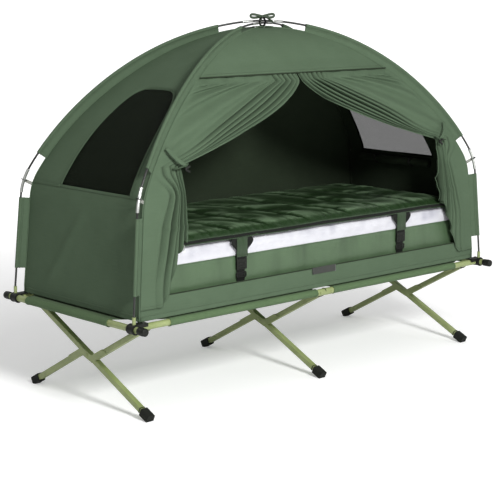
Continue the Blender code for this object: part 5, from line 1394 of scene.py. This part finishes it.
def buildQuilt():
    # rows along the bed; in each, columns over the top from the front edge and back along the underside
    x = np.linspace(-1, 1, quilt["rows"])[:, None]
    x = quilt["half"] * np.sign(x) * (1 - (1 - abs(x)) ** 1.06)
    over = np.sin(np.linspace(-math.pi / 2, math.pi / 2, quilt["top"]))[None] * quilt["edge"]
    back = np.linspace(quilt["edge"], -quilt["edge"], quilt["below"])[None, 1:-1] * 0.996
    under, upper = quiltSection(over)
    taper = (1 - (abs(x) / (quilt["half"] + 0.0004)) ** 26) ** (1 / 2.2)
    base = under + 0.002
    flatness = 1 - (abs(over) / quilt["edge"]) ** 10
    slant = (x + 0.22 * over + 0.012 * np.sin(over * 13 + 9 * x)) / quilt["channel"]
    toSeam = abs(slant % 1 - 0.5) * quilt["channel"]
    channel = quilt["stitched"] * np.exp(-(toSeam / 0.012) ** 2)
    creases = 0.9 - 1.5 * abs(ripples(x * 0.8, over + 0.35 * x, 55, 14, 0.09, 0.42, 1.5)) ** 0.75
    pulls = ripples(x, over, 58, 10, 0.018, 0.09, 5.0) * np.exp(-((over + 0.318) / 0.045) ** 2)
    top = base + (upper - base) * taper * (1 - channel * flatness)
    top = top + taper * (creases * flatness * 0.0040 + 0.0034 * pulls) - 0.0035
    bulge = 1 + 0.012 * ripples(x, over, 59, 8, 0.05, 0.3) * (abs(over) / quilt["edge"]) ** 12
    narrowed = 0.975 + 0.025 * taper
    y = np.hstack([over * bulge * narrowed, back * narrowed])
    z = np.hstack([top, np.broadcast_to(quiltSection(back)[0], (len(x), back.shape[1]))])
    places = pointsOf(x, y, z)
    rows, columns = y.shape
    width = over.shape[1]
    quads, caps = gridQuads(rows, columns, wrapColumns=True), endCaps(rows, columns)
    middles, normals = faceWays(places, quads)
    if (normals[:, 2] * (middles[:, 2] - 0.625)).sum() < 0:
        quads, caps = quads[:, ::-1], [cap[::-1] for cap in caps]
    flat = np.stack(np.broadcast_arrays(runAlong(places[rows // 2])[None], x), -1)
    piece = makePiece("quiltShell", buildMesh("quiltShell", places, quads, caps, flat), taffeta, "deck",
                      replaces=["quilt"], slotName="quilt_nylon")
    # held fully along the sewn lines, the rim and the underside
    fromEdge, fromEnd = quilt["edge"] - abs(over), quilt["half"] - abs(x)
    rim = np.maximum(1 - ease(fromEdge, 0.006, 0.030), 1 - ease(fromEnd, 0.01, 0.04))
    sewn = np.maximum(1 - ease(toSeam, 0.003, 0.011), rim)
    held = np.hstack([np.round(sewn * 8) / 8, np.ones((rows, columns - width))])
    places = puffUp(piece, held.ravel()).reshape(places.shape)
    # swells are rounded off under a ceiling, and dips stop at the mattress
    past = np.maximum(places[..., 2] - quilt["ceiling"], 0)
    capped = quilt["ceiling"] + quilt["soft"] * (1 - np.exp(-past / quilt["soft"]))
    places[..., 2] = np.where(past > 0, capped, places[..., 2])
    places[:, :width, 2] = np.maximum(places[:, :width, 2], base - 0.0012)
    piece.data.vertices.foreach_set("co", np.ascontiguousarray(places, np.float32).ravel())
    piece.data.update()
    # painted shade in the hollows and a painted highlight on the swells, from how far each place lies below
    # or above its smoothed surroundings
    rise = places[:, :width, 2] - smoothed(places[:, :width, 2], 7)
    rise *= ease(fromEdge, 0.02, 0.06) * ease(fromEnd, 0.02, 0.06)
    rest = np.zeros((rows, columns - width))
    setRelief(piece, "paintedFoldShade", np.hstack([np.clip(-rise / 0.0070, 0, 0.50), rest]))
    setRelief(piece, "paintedSwellHighlight", np.hstack([np.clip(rise / 0.0044, 0, 0.70) ** 1.5, rest]))
    finer = piece.modifiers.new("finer", "SUBSURF")
    finer.levels = finer.render_levels = 1


zipper = {"from": -0.775, "to": 0.790, "y": -0.3372, "z": 0.6195, "tape": 0.0105, "sliderX": -0.712}


def buildQuiltTrims():
    # zip along the front edge: tape, teeth and a puller at the left end, piped above and below
    up = (0, -1, 0)
    x = np.linspace(zipper["from"], zipper["to"], 200)
    y = zipper["y"] - 0.0008 * ripples(x, 0 * x, 71, 6, 0.05, 0.4)
    path = pointsOf(x, y, zipper["z"] + 0.0016 * ripples(x, 0 * x, 72, 6, 0.10, 0.7))
    sweptPiece("quiltZipTape", path, flatProfile(zipper["tape"], 0.0018), webbing, "deck", up=up,
               slotName="quilt_nylon")
    stitchRow("quiltZipTeeth", path + [0, -0.0014, 0], up, "deck", plastic)
    sweptPiece("quiltPiping", path + [0, 0.0004, 0.0080], roundProfile(0.0026, 10), taffeta, "deck",
               slotName="quilt_nylon")
    sweptPiece("quiltLowerPiping", path[::2] + [0, 0.0012, -0.0078], roundProfile(0.0022, 10), taffeta,
               "deck", slotName="quilt_nylon")
    slider = np.array([zipper["sliderX"], -0.3405, zipper["z"]])
    u = np.linspace(-1, 1, 9)[:, None]
    sweptPiece("quiltZipSlider", slider + u * [0.0065, 0, 0], bulged(flatProfile(0.0076, 0.0057), u, 6, 0.05),
               zinc, "deck", up=up, slotName="zinc_steel")
    t = ringAngles(36)
    puller = slider + [0.004, -0.0034, -0.013] + np.cos(t) * [0.0042, 0, 0.001] + np.sin(t) * [0, 0, 0.0115]
    sweptPiece("quiltZipPull", puller, roundProfile(0.0013, 8), zinc, "deck", up=up, loop=True,
               slotName="zinc_steel")


flap = {"width": 0.056, "top": 0.614, "low": 0.538, "face": -0.3362, "rows": (0.005, 0.010)}
wing = {"from": 0.0205, "reach": 0.034, "top": 0.613, "tall": 0.054, "y": -0.3346, "bow": 0.0030}
band = {"width": 0.0385, "y": -0.3278, "low": 0.385, "high": 0.505, "tongueWidth": 0.0365, "tongueY": -0.3345,
        "tongue": (0.531, 0.549)}
buckle = {"ribs": (0.4945, 0.5040, 0.5135), "rib": 0.017, "ribY": -0.3352,
          "slide": (0.0235, 0.0090, 0.0040), "slideY": -0.3305, "slideZ": 0.4700}


def buildStrapCloth(end, x0):
    # flap of shell cloth hanging from the quilt's front edge, bowed over the webbing behind it
    u = np.linspace(-1, 1, 26)[None]
    t = np.linspace(0, 1, 34)[:, None]
    x = x0 + flap["width"] / 2 * u * (1 - 0.05 * np.sin(math.pi * t))
    z = flap["top"] + (flap["low"] - flap["top"]) * t
    bow = 0.0030 * (1 - u ** 4) * np.sin(math.pi * t ** 0.8) + 0.0008 * ripples(x, z, 81, 8, 0.012, 0.06, 2.0)
    sheet = clothPanel(f"{end}StrapFlap", pointsOf(x, flap["face"] - bow, z), taffeta, "deck", (0, -1, 0),
                       replaces=["quilt"], slotName="quilt_nylon")
    for row, lift in enumerate(flap["rows"]):
        path = pointsOf(x0 + np.linspace(-0.025, 0.025, 12), flap["face"] - 0.0022, flap["low"] + lift)
        stitchRow(f"{end}FlapStitch{row}", path, (0, -1, 0), "deck")
    # webbing doubled behind the flap: a loop stands out on either side of it
    u = np.linspace(0, 1, 18)[None]
    v = np.linspace(0, 1, 26)[:, None]
    reach = wing["reach"] * np.sin(math.pi * (0.22 + 0.74 * v ** 0.75)) ** 1.3
    y = wing["y"] - wing["bow"] * u ** 2 * np.sin(math.pi * v) - 0.0002 * (1 - np.cos(9 * u))
    for name, side in (("Left", -1), ("Right", 1)):
        places = pointsOf(x0 + side * (wing["from"] + reach * u), y, wing["top"] - wing["tall"] * v)
        sheet = clothPanel(f"{end}Loop{name}", places, webbing, "deck", (0, -1, 0), 0.0010)


def buildStraps():
    up = (0, -1, 0)
    for end, x0 in zip(("left", "right"), pad["straps"]):
        buildStrapCloth(end, x0)
        # ribbed webbing from under the mattress to the buckle, and the short piece on the tongue
        path = pointsOf(x0, band["y"], np.linspace(band["low"], band["high"], 60))
        sweptPiece(f"{end}Webbing", path, flatProfile(band["width"], 0.0014, 5, 24), webbing, "deck", up=up)
        path = pointsOf(x0, band["tongueY"], np.linspace(*band["tongue"], 9))
        sweptPiece(f"{end}TongueWebbing", path, flatProfile(band["tongueWidth"], 0.0016, 5, 24), webbing,
                   f"buckle_{end}", up=up)
        for number, z in enumerate(buckle["ribs"]):
            path = pointsOf(x0 + np.linspace(-buckle["rib"], buckle["rib"], 8), buckle["ribY"], z)
            sweptPiece(f"{end}BuckleRib{number}", path, flatProfile(0.0036, 0.0030), plastic, "deck", up=up)
        # ladder-lock slide that takes up the webbing's slack, just above the sill
        border = roundedBorder(*buckle["slide"], 0.0012)[0]
        path = pointsOf(x0 + border[:, 0], buckle["slideY"], buckle["slideZ"] + border[:, 1])
        sweptPiece(f"{end}Slide", path, roundProfile(0.0024, 10), plastic, "deck", up=up, loop=True)


buildQuilt()
buildQuiltTrims()
buildStraps()
print("quilt and straps made")


# Floor, light and camera

view = {"azimuth": math.radians(-42.7811), "elevation": math.radians(10.2715), "distance": 5.9308,
        "target": Vector((-0.0807, 0.0, 0.4773)), "roll": math.radians(0.1023), "lens": 105.72}
stage = {"half": 22.0, "turned": math.radians(-42.78), "bendAt": 8.0, "bend": 2.0, "high": 9.0,
         "drop": 0.0002}
lamps = {"key": ((-1.5, -4.6, 3.1), 300.0, 1.1), "fill": ((3.6, -3.2, 1.8), 22.0, 2.2),
         "rim": ((-1.0, 4.4, 4.2), 25.0, 2.4)}     # place, power, width


def buildFloor():
    material, tree, place = newMaterial("studio floor")
    # to the camera it has some light of its own, more with distance, so that it runs into the white behind
    reach = addNode(tree, "VectorMath", {"operation": "LENGTH"}, {0: place})
    glow = addRange(tree, reach.outputs["Value"], 0.22, 0.75, 1.2, 4.5)
    path = addNode(tree, "LightPath")
    seen = addNode(tree, "Math", {"operation": "MULTIPLY"}, {0: glow, 1: path.outputs["Is Camera Ray"]})
    closeMaterial(tree, {"Base Color": hexToLinear("#f8f8f8"), "Roughness": 0.9,
                         "Emission Color": hexToLinear("#ffffff")}, {"Emission Strength": seen})
    bend = np.linspace(0, math.pi / 2, 16)
    back = np.concatenate([[-stage["half"]], stage["bendAt"] + stage["bend"] * np.sin(bend),
                           [stage["bendAt"] + stage["bend"]]])
    up = np.concatenate([[0.0], stage["bend"] * (1 - np.cos(bend)), [stage["high"]]])
    x = np.linspace(-stage["half"], stage["half"], 3)[:, None]
    c, s = math.cos(stage["turned"]), math.sin(stage["turned"])
    places = pointsOf(x * c - back * s, x * s + back * c, up - stage["drop"])
    quads = pointOut(places, gridQuads(*places.shape[:2]), (0, 0, 1))
    makePiece("floor", buildMesh("floor", places, quads), material, None)


def addHolder(name, data, place, facing):
    holder = bpy.data.objects.new(name, data)
    holder.location = place
    holder.rotation_mode = "QUATERNION"
    holder.rotation_quaternion = facing
    bpy.context.scene.collection.objects.link(holder)
    return holder


def buildLight():
    world = bpy.data.worlds.new("studio")
    bpy.context.scene.world = world
    world.use_nodes = True
    tree = world.node_tree
    tree.nodes.clear()
    seen = addNode(tree, "LightPath").outputs["Is Camera Ray"]
    light = addNode(tree, "Background", {"Color": hexToLinear("#ffffff")},
                    {"Strength": addRange(tree, seen, 0.43, 1.0)})
    addNode(tree, "OutputWorld", None, {"Surface": light})
    # key from the front left above, a weak fill from the right, a faint rim from behind
    for name, (place, power, width) in lamps.items():
        lamp = bpy.data.lights.new(name, "AREA")
        lamp.energy, lamp.size = power, width
        addHolder(name, lamp, place, (Vector((0, 0, 0.6)) - Vector(place)).to_track_quat("-Z", "Y"))


def buildCamera():
    a, e = view["azimuth"], view["elevation"]
    back = Vector((math.sin(a) * math.cos(e), -math.cos(a) * math.cos(e), math.sin(e)))
    camera = bpy.data.cameras.new("camera")
    camera.lens, camera.sensor_width = view["lens"], 36.0
    camera.clip_start, camera.clip_end = 0.1, 60.0
    facing = (-back).to_track_quat("-Z", "Y") @ Quaternion((0.0, 0.0, 1.0), view["roll"])
    bpy.context.scene.camera = addHolder("camera", camera, view["target"] + back * view["distance"], facing)
    bpy.context.scene.view_settings.view_transform = "Standard"


buildFloor()
buildLight()
buildCamera()
print("stage and camera made")
